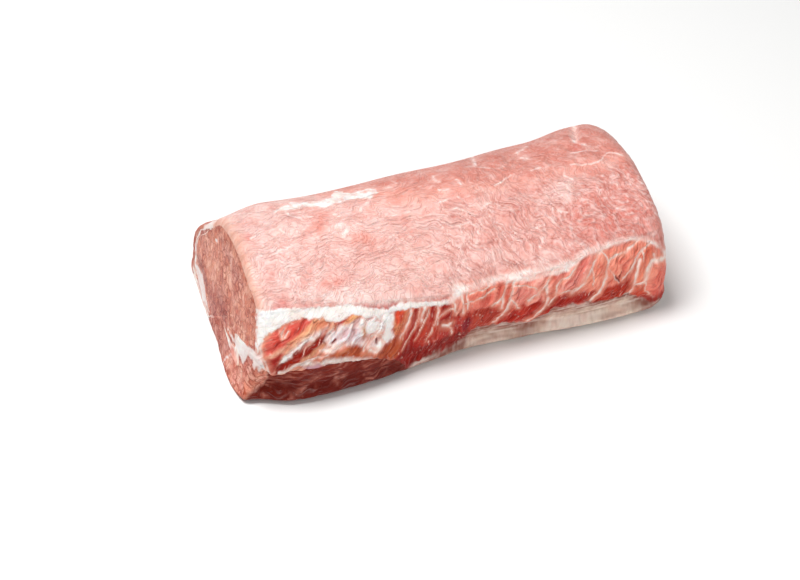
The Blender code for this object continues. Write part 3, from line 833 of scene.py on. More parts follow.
def washed(colours, at, patches, soft):
    """The colours with each patch laid over them."""
    for code, *points in patches:
        cover = patch(at, soft, points)
        cover = (cover**2 * (3 - 2 * cover))[:, None]
        colours = colours * (1 - cover) + hex_colour(code) * cover
    return colours


def gradient(stops, at):
    """A colour at each place, between the stops."""
    places = [place for place, _ in stops]
    codes = np.array([hex_colour(code) for _, code in stops])
    return np.stack([np.interp(at, places, codes[:, c]) for c in range(3)], axis=1)


def flow(x, across, angles, middle):
    """Coordinates along and across the fibres, which lie at the given angles along the loin."""
    places = np.linspace(-10, 270, 561)
    angle = np.radians(curve_through([a for a, _ in angles], [b for _, b in angles], places))
    run_cos = np.concatenate([[0], np.cumsum(np.cos(angle[:-1]) * 0.5)])
    run_sin = np.concatenate([[0], np.cumsum(np.sin(angle[:-1]) * 0.5)])
    here = np.interp(x, places, angle)
    lengthwise = np.interp(x, places, run_cos) + (across - middle) * np.sin(here)
    crosswise = -np.interp(x, places, run_sin) + (across - middle) * np.cos(here)
    return lengthwise, crosswise


def laid(colours, cover, code):
    """The colours with another one laid over them, as far as it covers."""
    cover = np.clip(cover, 0, 1)[:, None]
    return colours * (1 - cover) + hex_colour(code) * cover


def varied(colours, by):
    """The colours of lean, lighter and paler where by is over 0, and darker and redder where it is below."""
    return colours * np.exp(np.clip(by, -1.6, 0.8)[:, None] * LEAN_CHANGE)


def folds(u, v, seed, width):
    """Winding lines, 1 in the middle of each: the places where smooth waves pass through zero."""
    return np.clip(1 - np.abs(noise(u, v, seed)) / width, 0, 1)


def shaken(u, v, by, size, seed):
    """Places moved a little to and fro, so that what is drawn at them has uneven edges."""
    moved_u = u + by * noise(u / size, v / size, seed)
    moved_v = v + by * noise(u / size, v / size, seed + 1)
    return np.stack([moved_u, moved_v], axis=1)


def top_look(mm, y):
    """The bare eye on top, at x and y in mm: pale under its silvery membrane, deeper towards the right."""
    at = shaken(mm, y, 0.8, 4, 13)
    colours = washed(gradient(TOP_TONES, mm), at, TOP_PATCHES, 6)
    broken_up = np.clip(0.75 + 0.6 * noise(mm / 5, y / 5, 15), 0.3, 1)
    veins = drawn(at, TOP_VEINS, ()) * broken_up
    streaks = drawn(at, (), TOP_FAT) * broken_up

    # The membrane is drawn up into creases. They are long and deep on the right half near the ridge,
    # crumpled near the right cut, and short or gone on the quiet back half.
    lengthwise, crosswise = flow(mm, y, TOP_GRAIN, 20)
    u = lengthwise + 4.5 * noise(mm / 14, y / 14, 21) + 1.8 * noise(mm / 6, y / 6, 2)
    v = crosswise + 4.5 * noise(mm / 14, y / 14, 22) + 1.8 * noise(mm / 6, y / 6, 3)
    quiet = np.clip((y - 42 + 9 * noise(mm / 24, y / 18, 28)) / 9, 0, 1)
    lively = curve_through(*TOP_LIVELINESS, mm) * (1 - 0.92 * quiet)
    crumpled = np.clip((mm - 165 + 20 * noise(mm / 20, y / 16, 30)) / 30, 0, 1) * (1 - quiet)
    broken = np.clip(0.5 + 0.9 * noise(mm / 7, y / 6, 26), 0, 1)
    uneven = np.clip(0.55 + 0.9 * noise(mm / 11, y / 9, 9), 0.1, 1)
    deep = folds(u / 13, v / 4.2, 23, 0.22) * lively * (1 - 0.6 * crumpled) * uneven
    lip_highlight = folds(u / 13, (v - 0.8) / 4.2, 23, 0.2) * lively * (1 - 0.6 * crumpled) * (1 - deep)
    short = folds(u / 5, v / 2.4, 24, 0.28) * broken * (0.35 + 0.65 * lively)
    crisp = folds(mm / 5, y / 4, 20, 0.24) * crumpled * np.clip(0.25 + noise(mm / 6, y / 5, 8), 0, 1)
    ridges = np.clip(noise(mm / 3.2, y / 2.6, 7) - 0.05, 0, 1) * crumpled * (1 - crisp)
    fine = folds(mm / 3.1, y / 2.3, 25, 0.22) * (1 - broken) * (1 - 0.7 * quiet)
    crest = np.clip(noise(u / 8, v / 2.8, 27), 0, 1) * (0.15 + 0.85 * lively)
    streak = np.clip(noise((mm + 0.2 * y) / 8, (y - 0.2 * mm) / 2, 29) - 0.3, 0, 1) * quiet
    mottle = noise(mm / 9, y / 8, 16) + 0.6 * noise(mm / 3.5, y / 3, 17)
    speck = noise(mm / 1.5, y / 1.4, 18)

    colours = laid(colours, 0.42 * mottle, "#d98d80")
    colours = laid(colours, -0.35 * mottle, "#f6dcd6")
    # Painted highlight: the crests between the creases are painted paler.
    colours = laid(colours, 0.5 * crest + 0.4 * streak, "#f8e2dd")
    # Painted highlights: a pale line along the lip beside each deep crease, and on the ridges of the crumpled
    # part.
    colours = laid(colours, 0.6 * lip_highlight + 1.0 * ridges, "#fbe2dc")
    colours = laid(colours, 0.4 * (speck - 0.2), "#fdeee9")
    colours = laid(colours, 0.35 * (-speck - 0.25), "#c97a6e")
    # The creases are painted darker, partly for the blood in them and partly as painted shade.
    creases = np.clip(0.9 * deep + 0.7 * short + 0.7 * fine + 0.9 * crisp, 0, 1)
    colours = laid(colours, 0.56 * creases, "#b2584b")
    colours = laid(colours, 1.0 * veins, "#fbe5de")
    fat = np.maximum(0.9 * streaks, 0.4 * veins)

    # Near the left cut the membrane ends, over a cream rim that turns brown at the cut.
    rim = 1 - (mm + 1.6 * noise(mm / 6, y / 4, 14)) / CUT_RIM
    colours = laid(colours, 0.7 * rim, "#f1cebf")
    colours = laid(colours, 1.8 * (rim - 0.65), "#e5a68c")
    relief = 0.4 * crest + 0.4 * ridges + 0.15 * mottle
    relief = relief - 0.8 * deep - 0.4 * short - 0.15 * fine - 0.4 * crisp
    for width, depth, *points in TOP_GASHES:
        relief = relief - depth * stroke(at, width, points)
    return colours, fat, u, v, relief


def front_look(mm, turn):
    """The red strip on the front, at x in mm and a direction in degrees: muscles between white sinews."""
    at = shaken(mm, turn, 0.6, 3.5, 11)
    colours = washed(gradient(FRONT_TONES, mm), at, FRONT_PATCHES, 1.4)
    lines = drawn(at, FRONT_SINEWS, (), 0.8)
    halo = drawn(at, FRONT_SINEWS, (), 2.6)
    lines = lines**1.3 * np.clip(0.85 + 1.0 * noise(mm / 5, turn / 5, 35), 0.25, 1)
    sheet = drawn(at, (), FRONT_FAT)
    thin = np.clip((mm - SHEET_END) / SHEET_FADE, 0, 1)

    # Muscle: bundles with grooves between them, painted dark as painted shade, and threads and pale marbling
    # along them, with painted wet glints in the marbling.
    lengthwise, crosswise = flow(mm, turn, FRONT_GRAIN, 180)
    u, v = lengthwise + 1.8 * noise(mm / 7, turn / 7, 36), crosswise + 1.8 * noise(mm / 7, turn / 7, 37)
    bundle = noise(u / 13, v / 3.6, 31) + 0.6 * noise(u / 5.5, v / 1.8, 32)
    thread = noise(u / 6, v / 0.9, 34)
    speck = noise(mm / 1.3, turn / 1.3, 38)
    bare = 1 - np.clip(1.4 * sheet, 0, 1)
    colours = varied(colours, (1.0 * bundle + 0.5 * thread + 0.35 * speck - 0.1) * (0.3 + 0.7 * bare))
    gaps = folds(u / 11, v / 3.4, 40, 0.16) * np.clip(0.4 + noise(mm / 9, turn / 7, 42), 0, 1)
    # Painted shade in the grooves between the bundles.
    colours = laid(colours, 0.6 * gaps * bare, "#6f120c")
    # Pale marbling along the fibres, which also stands in for wet glints: partly painted highlight.
    marbling_and_glints = np.clip(noise(u / 3.8, v / 0.8, 33) - 0.45, 0, 1)
    marbling_and_glints = marbling_and_glints * np.clip(0.5 + noise(mm / 10, turn / 8, 39), 0, 1)
    colours = laid(colours, 2.4 * marbling_and_glints, "#fbd3c4")

    # Sinews with a pink halo, the white sheet at the left, and the band along the ridge at the right.
    colours = laid(colours, 0.75 * halo**1.1, "#f4a98f")
    colours = laid(colours, 1.35 * lines, "#fdeae0")
    glow = drawn(at, ((5.5, *zip(RIDGE[0][5:], RIDGE[1][5:])),), ()) * thin
    colours = laid(colours, 0.6 * glow, "#f6b9a6")
    band = thin * np.clip(sheet * 1.1 + 0.35 * noise(mm / 6, turn / 2.2, 12) - 0.15, 0, 1)
    band = band * np.clip(0.95 + 0.8 * noise(mm / 14, turn / 6, 4) + np.clip((126 - mm) / 6, 0, 1), 0.5, 1)
    colours = laid(colours, 1.1 * band, "#fbe4dc")
    solid = sheet * (1 - thin) * np.clip(1.05 + 0.5 * noise(mm / 5, turn / 3, 10), 0.5, 1)
    fat = np.maximum(solid, np.maximum(0.3 * lines, 0.45 * band))

    # Pits, painted dark as painted shade, which go through the white too.
    pits = np.zeros(len(mm))
    for width, depth, *points in FRONT_PITS:
        cover = stroke(at, width, points)
        pits = np.maximum(pits, depth * cover)
        colours = laid(colours, 1.2 * cover, "#8c372e")
        fat = fat * (1 - cover)
    groove = np.clip(lines * 2, 0, 1)
    relief = 0.8 * np.clip(bundle, -1, 1) * bare - 0.4 * groove - 0.5 * gaps * bare - pits
    swelling = np.clip(2 * sheet - 0.8, 0, 1) * (1 - 0.7 * thin)
    relief = relief + swelling * (0.2 + 0.3 * noise(mm / 4, turn / 3, 33))
    colours, toe = toe_look(mm, turn, colours)
    return colours, fat * (1 - toe), u, v, relief


def toe_cover(mm, turn):
    """How far the left cut's pale lean, and its fat, cover the skin round the corner at the front foot."""
    at = shaken(mm, turn, 0.5, 3, 57)
    return patch(at, 0.8, TOE), np.clip(1.6 * patch(at, 0.8, TOE_FAT) - 0.3, 0, 1)


def toe_look(mm, turn, colours):
    """The colours with the pale lean of the left cut round the corner, and how far it covers."""
    cover, white = toe_cover(mm, turn)
    pale = varied(np.tile(hex_colour("#f2b19c"), (len(mm), 1)), 0.6 * noise(mm / 3, turn / 4, 58))
    pale = laid(pale, white, "#f5edea")
    return colours * (1 - cover[:, None]) + pale * cover[:, None], cover


def fat_look(mm, turn):
    """The back fat where it shows at the front foot: a brownish pink membrane, darkened as painted shade
    under the strip's overhang, and cream fat below it.
    """
    below = turn - np.interp(mm, *RED_EDGE) + 1.2 * noise(mm / 7, turn / 4, 53)
    colours = gradient(FAT_TONES, below)
    cream = np.clip((mm - 165) / 60, 0, 1) * np.clip((below - 1.5) / 5, 0, 1)
    colours = laid(colours, 0.5 * cream, "#f9e6d2")
    smudge = noise(mm / 16, turn / 4, 51) + 0.6 * noise(mm / 5, turn / 2.2, 56)
    layer = noise(mm / 26, turn / 1.2, 52)
    grit = noise(mm / 1.8, turn / 2.4, 5)
    colours = laid(colours, 0.8 * smudge * (1 - 0.6 * cream), "#9c6a58")
    colours = laid(colours, -0.6 * smudge, "#f6e6da")
    colours = laid(colours, 0.9 * layer, "#f6e9de")
    colours = laid(colours, -0.7 * layer, "#8f5a48")
    colours = laid(colours, 0.4 * (grit - 0.1), "#fbf2ea")
    colours = laid(colours, 0.4 * (-grit - 0.1), "#9a6c5b")
    blood = np.clip(noise(mm / 12, turn / 2.2, 50) - 0.35, 0, 1) * np.clip(1.3 - below / 6, 0, 1)
    colours = laid(colours, 1.6 * blood, "#b5443a")
    return colours, 0.3 * smudge + 0.3 * layer - 0.1


def seam_look(mm, turn, colours):
    """The colours with the fat seam over the lean under the fat."""
    at = shaken(mm, turn, 0.6, 3.5, 55)
    cover = 0
    for width, *points in SEAM_FAT:
        cover = np.maximum(cover, stroke(at, width, points))
    cover = cover * np.clip(1 + 0.8 * noise(mm / 5, turn / 2.5, 59), 0.3, 1)
    colours = laid(colours, 1.5 * cover, "#e3cdc3")
    return washed(colours, at, SEAM_PATCHES, 1.2), cover


def outside_look(x, turn, y, front_fibres=True):
    """The look of the skin: colour, fat, coordinates along and across the fibres, and relief in mm."""
    mm, y = x / MM, y / MM
    turn = np.where(turn > OVER_THE_TOP, turn - 360, turn)
    near_front = turn > FRONT_FROM
    colours, fat, lengthwise, crosswise, relief = top_look(mm, y)
    red = [np.copy(part) for part in (colours, fat, lengthwise, crosswise, relief)]
    front = front_look(mm[near_front], turn[near_front])
    for whole, part in zip(red, front):
        whole[near_front] = part

    # The top turns into the front along the ridge.
    ridge = np.interp(mm, *RIDGE) + 1.3 * noise(mm / 10, turn / 8, 6) + 0.5 * noise(mm / 3, turn / 3, 19)
    below = np.where(turn < 0, 0, np.clip((turn - ridge) / 4 + 0.5, 0, 1))
    colours = colours * (1 - below[:, None]) + red[0] * below[:, None]
    soft = np.clip((mm - SHEET_END) / 10, 0, 1) * (1 - below)
    fat = np.maximum(fat * (1 - below), red[1] * near_front * (1 - soft))
    if front_fibres:
        lengthwise, crosswise = red[2:4]
    relief = relief * (1 - below) + red[4] * below

    # The red ends in an uneven edge over the back fat.
    under = turn - np.interp(mm, *RED_EDGE) + 1.2 * noise(mm / 2.5, turn / 2.5, 54)
    under = np.where(turn < 0, 0, np.clip(under / 1.6 + 0.5, 0, 1))
    cream, cream_relief = fat_look(mm, turn)
    colours = colours * (1 - under[:, None]) + cream * under[:, None]
    fat = fat * (1 - under)
    relief = relief * (1 - under) + (cream_relief - 0.3) * under
    colours, seam = seam_look(mm, turn, colours)
    back = np.clip((BACK_SEAM + 6 * noise(mm / 12, turn / 14, 70) - turn) / 4, 0, 1) * (turn < 60)
    colours = laid(colours, 0.8 * back, "#efd9d0")
    fat = np.maximum(fat, np.maximum(0.5 * seam, 0.4 * back))
    return colours, fat, lengthwise, crosswise, relief - 0.45


def eye_look(x, turn, y):
    """The look of the eye's skin, which keeps the fibres of the top as far as the ridge."""
    return outside_look(x, turn, y, front_fibres=False)


def lean_look(x, turn, y):
    """The look of the lean under the fat and of the flap."""
    mm = x / MM
    turn = np.where(turn < 180, turn + 360, turn)
    u, v = 0.99 * mm - 0.14 * turn, 0.14 * mm + 0.99 * turn
    u, v = u + 1.5 * noise(mm / 7, turn / 6, 68), v + 1.5 * noise(mm / 7, turn / 6, 69)
    bundle = noise(u / 13, v / 4, 61) + 0.6 * noise(u / 5, v / 1.8, 62)
    thread = noise(u / 7, v / 1.1, 63)
    # The tones hold painted shade on the front of the lean under the fat.
    colours = varied(gradient(UNDER_LEAN_TONES, turn), 1.1 * bundle + 0.4 * thread - 0.1)
    # Pale marbling along the fibres, which also stands in for the pinkish-grey sheen of the lean under the
    # fat: partly painted highlight.
    mottle = folds(u / 10, v / 2.6, 64, 0.3) * np.clip(noise(mm / 9, turn / 8, 65) + 0.25, 0, 1)
    colours = laid(colours, 0.95 * mottle, "#cc8371")
    rim = np.clip(1 - (mm + noise(mm / 3, turn / 3, 66)) / 3, 0, 1)
    colours = laid(colours, 0.8 * rim, "#c26a4c")
    colours, toe = toe_look(mm, turn, colours)
    edge = np.clip((turn - FLAP_EDGE + 3.5 * noise(mm / 6, turn / 5, 70)) / 2.5, 0, 1)
    colours = laid(colours, edge, "#e9cfc4")
    corner = patch(shaken(mm, turn, 0.6, 3, 67), 1, FLAP_CORNER_FAT)
    colours = laid(colours, 1.3 * corner, "#f1e2dc")
    relief = 0.45 * np.clip(bundle, -1, 1) - 0.6
    return colours, 0.15 * mottle * (1 - toe) + 0.3 * np.maximum(corner, edge), u, v, relief


def cut_look(y, z, inside, left, base):
    """The look of the cuts, at y and z in mm: pale lean, browner near the skin, and white fat.

    inside is how far each place is from the skin, in mm.
    """
    at = shaken(y, z, 1.2, 5, 41)
    colours = np.tile(hex_colour(base), (len(y), 1))
    white = np.zeros(len(y))
    if left:
        colours = washed(colours, at, CUT_PATCHES, 3)
        white = drawn(at, CUT_SINEWS, CUT_FAT) - 0.3 + 0.2 * noise(y / 1.8, z / 1.8, 48)
        white = np.clip(2.4 * white, 0, 1)
    u, v = at[:, 0] + noise(y / 6, z / 6, 42), at[:, 1] + noise(y / 6, z / 6, 49)
    tone = noise(u / 12, v / 8, 45) + 0.6 * noise(u / 5, v / 4, 43)
    fleck = noise((0.9 * u + 0.4 * v) / 3.2, (0.9 * v - 0.4 * u) / 0.9, 47)
    near_skin = np.clip(1.4 - (inside + 2.5 * noise(y / 6, z / 6, 46)) / 7, 0, 1)
    near_skin = near_skin * np.clip((z - CORE_Z / MM) / 12, 0, 1)
    streak = noise((0.98 * u - 0.2 * v) / 1.7, (0.2 * u + 0.98 * v) / 3, 44)
    colours = varied(colours, 0.8 * tone + 0.9 * streak)
    colours = laid(colours, 0.9 * near_skin, "#db8058")
    colours = laid(colours, 1.0 * (fleck - 0.25), "#f7cbbb")
    colours = laid(colours, white, "#f3ecea")
    return colours, white, u, v


def deselect_all():
    """Leaves nothing selected, in object mode."""
    if bpy.context.mode != "OBJECT":
        bpy.ops.object.mode_set(mode="OBJECT")
    bpy.ops.object.select_all(action="DESELECT")


def block(name, cells, fine_sides, fine_cuts):
    """A cube from 0 to 1, cut into cells along its three directions, and finer on some of its sides.

    A side is given by its axis and its place on it, 0 or 1.
    """
    deselect_all()
    bpy.ops.mesh.primitive_cube_add(size=1, location=(0.5, 0.5, 0.5))
    piece = bpy.context.object
    piece.name = piece.data.name = name
    bpy.ops.object.transform_apply(location=True)
    for axis, number in enumerate(cells):
        if number < 2:
            continue
        bpy.ops.object.mode_set(mode="EDIT")
        bpy.ops.mesh.select_mode(type="EDGE")
        bpy.ops.mesh.select_all(action="DESELECT")
        bpy.ops.object.mode_set(mode="OBJECT")
        for edge in piece.data.edges:
            a, b = (piece.data.vertices[v].co for v in edge.vertices)
            edge.select = abs(a[axis] - b[axis]) > 0.5
        bpy.ops.object.mode_set(mode="EDIT")
        bpy.ops.mesh.subdivide(number_cuts=number - 1)
        bpy.ops.object.mode_set(mode="OBJECT")
    bpy.ops.object.mode_set(mode="EDIT")
    bpy.ops.mesh.select_mode(type="FACE")
    bpy.ops.mesh.select_all(action="DESELECT")
    bpy.ops.object.mode_set(mode="OBJECT")
    for face in piece.data.polygons:
        face.select = any(abs(face.center[axis] - side) < 1e-4 for axis, side in fine_sides)
    bpy.ops.object.mode_set(mode="EDIT")
    bpy.ops.mesh.subdivide(number_cuts=fine_cuts, ngon=False)
    bpy.ops.object.mode_set(mode="OBJECT")
    points = np.empty(len(piece.data.vertices) * 3)
    piece.data.vertices.foreach_get("co", points)
    return piece, np.clip(points.reshape(-1, 3), 0, 1)


def raised(x, turn, depth, relief):
    """The relief in metres, which fades on the table, in the sides of a layer and beside its edges."""
    for edge in (along(STRIP_TOP, x), FAT_TOP, FLAP_TOP):
        away = np.clip(np.abs((turn - edge + 180) % 360 - 180) / JOIN_FADE, 0, 1)
        relief = relief * away**2 * (3 - 2 * away)
    return relief * (1 - np.clip(depth / RELIEF_DEPTH, 0, 1)) * (1 - downward(turn)) * MM


def dress(piece, share, turn, depth, inward, look, cut_colour):
    """Moves the cube's points to their places in the loin, and gives each its look.

    depth is how deep a point lies under the skin, and inward how far it is drawn to the core.
    """
    x = share * LENGTH
    smooth = skin(x, turn)
    y = CORE_Y + smooth * np.cos(np.radians(turn))
    colours, fat, lengthwise, crosswise, relief = look(x, turn, y)
    points = place(share, turn, (smooth + raised(x, turn, depth, relief) - depth) * inward)

    # On the skin the bundle ends show only at the toe; in the cuts all over, apart from the fat.
    grain = np.column_stack([lengthwise, crosswise, np.zeros(len(x))])
    cover, white = toe_cover(x / MM, np.where(turn > OVER_THE_TOP, turn - 360, turn))
    ends = cover * (1 - white)
    cut_grain, cut_ends = np.copy(grain), np.copy(ends)
    for left, at_end in ((True, share < CUT_SHARE), (False, share > 1 - CUT_SHARE)):
        y, z = (points[at_end, 1] + ORIGIN_Y) / MM, points[at_end, 2] / MM
        inside = (smooth * (1 - inward) + depth)[at_end] / MM
        painted, white, cut_grain[at_end, 0], cut_grain[at_end, 1] = cut_look(y, z, inside, left, cut_colour)
        cut_ends[at_end] = 1 - white
        inner = ((depth > 0.8 * MM) | (inward < 0.985))[at_end]
        colours[np.flatnonzero(at_end)[inner]] = painted[inner]
        fat[np.flatnonzero(at_end)[inner]] = 0.25 * white[inner]
    move_points(piece, points)

    # The fibres turn at the border of a cut, so they are kept at the corners of the triangles.
    corner = np.empty(len(piece.data.loops), int)
    piece.data.loops.foreach_get("vertex_index", corner)
    at_end = (share < CUT_SHARE) | (share > 1 - CUT_SHARE)
    in_cut = np.repeat(at_end[corner].reshape(-1, 3).all(axis=1), 3)
    grain = np.where(in_cut[:, None], cut_grain[corner], grain[corner]) * MM
    ends = np.where(in_cut, cut_ends[corner], ends[corner])
    colours = np.column_stack([np.clip(colours, 0, 1), np.ones(len(x))])
    for name, kind, domain, field, values in (
        ("colour", "FLOAT_COLOR", "POINT", "color", colours),
        ("fat", "FLOAT", "POINT", "value", fat),
        ("grain", "FLOAT_VECTOR", "CORNER", "vector", grain),
        ("bundle_ends", "FLOAT", "CORNER", "value", ends),
    ):
        attribute = piece.data.attributes.new(name, kind, domain)
        attribute.data.foreach_set(field, values.astype(np.float32).ravel())


def move_points(piece, points):
    """Moves a mesh's points, cuts its faces into triangles and shades it smooth."""
    piece.data.vertices.foreach_set("co", points.astype(np.float32).ravel())
    piece.data.update()
    bpy.ops.object.mode_set(mode="EDIT")
    bpy.ops.mesh.select_all(action="SELECT")
    bpy.ops.mesh.quads_convert_to_tris(quad_method="SHORTEST_DIAGONAL")
    bpy.ops.mesh.normals_make_consistent(inside=False)
    bpy.ops.object.mode_set(mode="OBJECT")
    bpy.ops.object.shade_smooth_by_angle(angle=math.radians(50))


def spread(share):
    """Shares of the length, drawn a little closer together near the cuts."""
    return share - 0.3 * np.sin(2 * math.pi * share) / (2 * math.pi)


def make_eye():
    """The eye of the loin, fine on top and at both cuts. The cube's square section is turned into rings."""
    piece, cell = block("eye_of_loin", (78, 34, 14), (UPPER_SIDE, *CUTS), 4)
    under = BACK_CORNER_STEP - FOOT_STEP
    share = spread(cell[:, 0])
    across, up = cell[:, 1] * 2 - 1, cell[:, 2] * 2 - 1
    ring = np.maximum(np.abs(across), np.abs(up))
    across, up = ((c / np.maximum(ring, 1e-6) + 1) / 2 for c in (across, up))
    step = np.select(
        [up < 1e-6, up > 1 - 1e-6, across < 1e-6],
        [FOOT_STEP + under * across, ALL_STEPS - under * across, FOOT_STEP * (1 - up)],
        BACK_CORNER_STEP + FOOT_STEP * up,
    )
    # The rows beside the edges of the bare top move close to them, so that the skin turns down sharply.
    for edge in (FAT_TOP_STEP, ALL_STEPS):
        beside = (np.abs(step - edge) < 0.15) & (step != edge)
        step = np.where(beside, edge - np.sign(edge - step) * 0.02, step)
    x = share * LENGTH
    turn = direction(x, step)
    dress(piece, share, turn, eye_face(x, turn, step), ring, eye_look, "#eda288")
    keep_sharp(piece, (ring > 0.999) & ((step == FAT_TOP_STEP) | (step == ALL_STEPS)))
    return piece


def keep_sharp(piece, border):
    """Marks the edges along a border as sharp, where the bare skin turns down under a layer."""
    mesh = piece.data
    ends = np.empty(len(mesh.edges) * 2, int)
    mesh.edges.foreach_get("vertices", ends)
    sharp = np.empty(len(mesh.edges), bool)
    mesh.edges.foreach_get("use_edge_sharp", sharp)
    mesh.edges.foreach_set("use_edge_sharp", sharp | border[ends.reshape(-1, 2)].all(axis=1))
    mesh.update()


def make_layer(
    name, cells, fine_sides, fine_cuts, steps, faces, look, cut_colour, length=LENGTH, first_edge=0
):
    """A layer from the left cut over a length, and from one step to another round the section.

    faces gives the depths of its inner and its outer face.
    """
    piece, cell = block(name, cells, fine_sides, fine_cuts)
    share = spread(cell[:, 0]) if length == LENGTH else cell[:, 0] * length / LENGTH
    x = share * LENGTH
    step = steps[0] + first_edge + (steps[1] - steps[0] - first_edge) * cell[:, 1]
    turn = direction(x, step)
    inner, outer = (face(x, turn, step) for face in faces)
    dress(piece, share, turn, inner + (outer - inner) * cell[:, 2], np.ones(len(x)), look, cut_colour)
    return piece


def make_strip():
    """The red strip of lean along the backbone side."""
    return make_layer(
        "backbone_strip_lean",
        cells=(52, 8, 2),
        fine_sides=(UPPER_SIDE, *CUTS),
        fine_cuts=8,
        steps=(0, FOOT_STEP),
        faces=(bed, skin_face),
        look=outside_look,
        cut_colour="#c4584a",
    )


def make_back_fat():
    """The layer of back fat, from the front foot under the loin and up its back."""
    return make_layer(
        "back_fat_layer",
        cells=(52, 26, 1),
        fine_sides=(UPPER_SIDE, *CUTS),
        fine_cuts=5,
        steps=(FOOT_STEP, FAT_TOP_STEP),
        faces=(bed, fat_face),
        look=outside_look,
        cut_colour="#f3e8e0",
    )


def make_lean_under_fat():
    """The wedge of lean under the fat, at the left end of the front."""
    return make_layer(
        "lean_under_fat",
        cells=(30, 15, 3),
        fine_sides=(UPPER_SIDE, CUTS[0]),
        fine_cuts=4,
        steps=WEDGE_STEPS,
        faces=(under_face, skin_face),
        look=lean_look,
        cut_colour="#d58b7e",
        length=WEDGE_LENGTH,
        first_edge=WEDGE_FIRST_EDGE,
    )


def make_flap():
    """The lean flap along the belly side."""
    return make_layer(
        "belly_flap_lean",
        cells=(60, 12, 2),
        fine_sides=(UPPER_SIDE, *CUTS),
        fine_cuts=4,
        steps=FLAP_STEPS,
        faces=(under_face, skin_face),
        look=lean_look,
        cut_colour="#c96f5f",
    )


def node(tree, kind, inputs=None, **settings):
    """Adds a shader node with its settings, and sets or links its inputs."""
    made = tree.nodes.new("ShaderNode" + kind)
    for name, value in settings.items():
        setattr(made, name, value)
    for name, value in (inputs or {}).items():
        if isinstance(value, bpy.types.NodeSocket):
            tree.links.new(value, made.inputs[name])
        else:
            made.inputs[name].default_value = value
    return made


def paint(code):
    """The value of a colour socket, from an sRGB hex code."""
    return (*hex_colour(code), 1)


def fibre_pattern(tree, grain, width_mm):
    """Fibres side by side, a few times longer than they are wide."""
    scale = (0.12 / width_mm / MM, 1 / width_mm / MM, 1)
    stretched = node(tree, "Mapping", {"Vector": grain, "Scale": scale}).outputs["Vector"]
    settings = {"Vector": stretched, "Scale": 1, "Detail": 3, "Roughness": 0.6, "Distortion": 0.6}
    return node(tree, "TexNoise", settings).outputs["Fac"]


def wrinkle_pattern(tree, grain, width_mm):
    """Wrinkles: 1 on the lines where a stretched noise passes its middle value."""
    scale = (0.32 / width_mm / MM, 1 / width_mm / MM, 1)
    stretched = node(tree, "Mapping", {"Vector": grain, "Scale": scale}).outputs["Vector"]
    settings = {"Vector": stretched, "Scale": 1, "Detail": 2, "Roughness": 0.5, "Distortion": 1.1}
    wavy = node(tree, "TexNoise", settings).outputs["Fac"]
    off_middle = node(tree, "Math", {0: wavy, 1: 0.5}, operation="SUBTRACT").outputs[0]
    off_middle = node(tree, "Math", {0: off_middle}, operation="ABSOLUTE").outputs[0]
    span = {"Value": off_middle, "From Min": 0.0, "From Max": 0.075, **FALLING}
    return node(tree, "MapRange", span, **SMOOTH).outputs["Result"]


def lean_colour(tree, colour, blotches, fibres, wrinkles, fibre_tint, wrinkle_shade):
    """The painted colour with deeper blotches, paler fibres, and painted shade that deepens the wrinkles."""
    deeper = {A: colour, B: paint("#efcbc5"), "Factor": 1.0}
    deeper = node(tree, "Mix", deeper, **DARKENED).outputs[MIXED]
    paler = {A: colour, B: paint("#ffeae4"), "Factor": fibre_tint}
    paler = node(tree, "Mix", paler, **BLENDED).outputs[MIXED]
    share = {"Value": blotches, "From Min": 0.35, "From Max": 0.68, "To Max": 0.5}
    share = node(tree, "MapRange", share, **SMOOTH).outputs["Result"]
    lean = node(tree, "Mix", {"Factor": share, A: colour, B: deeper}, **BLENDED).outputs[MIXED]
    share = {"Value": fibres, "From Min": 0.5, "From Max": 0.75}
    share = node(tree, "MapRange", share, **SMOOTH).outputs["Result"]
    lean = node(tree, "Mix", {"Factor": share, A: lean, B: paler}, **BLENDED).outputs[MIXED]
    # Painted shade: the colour turns deeper along the wrinkles.
    share = node(tree, "Math", {0: wrinkles, 1: wrinkle_shade}, operation="MULTIPLY").outputs[0]
    return node(tree, "Mix", {"Factor": share, A: lean, B: deeper}, **BLENDED).outputs[MIXED]


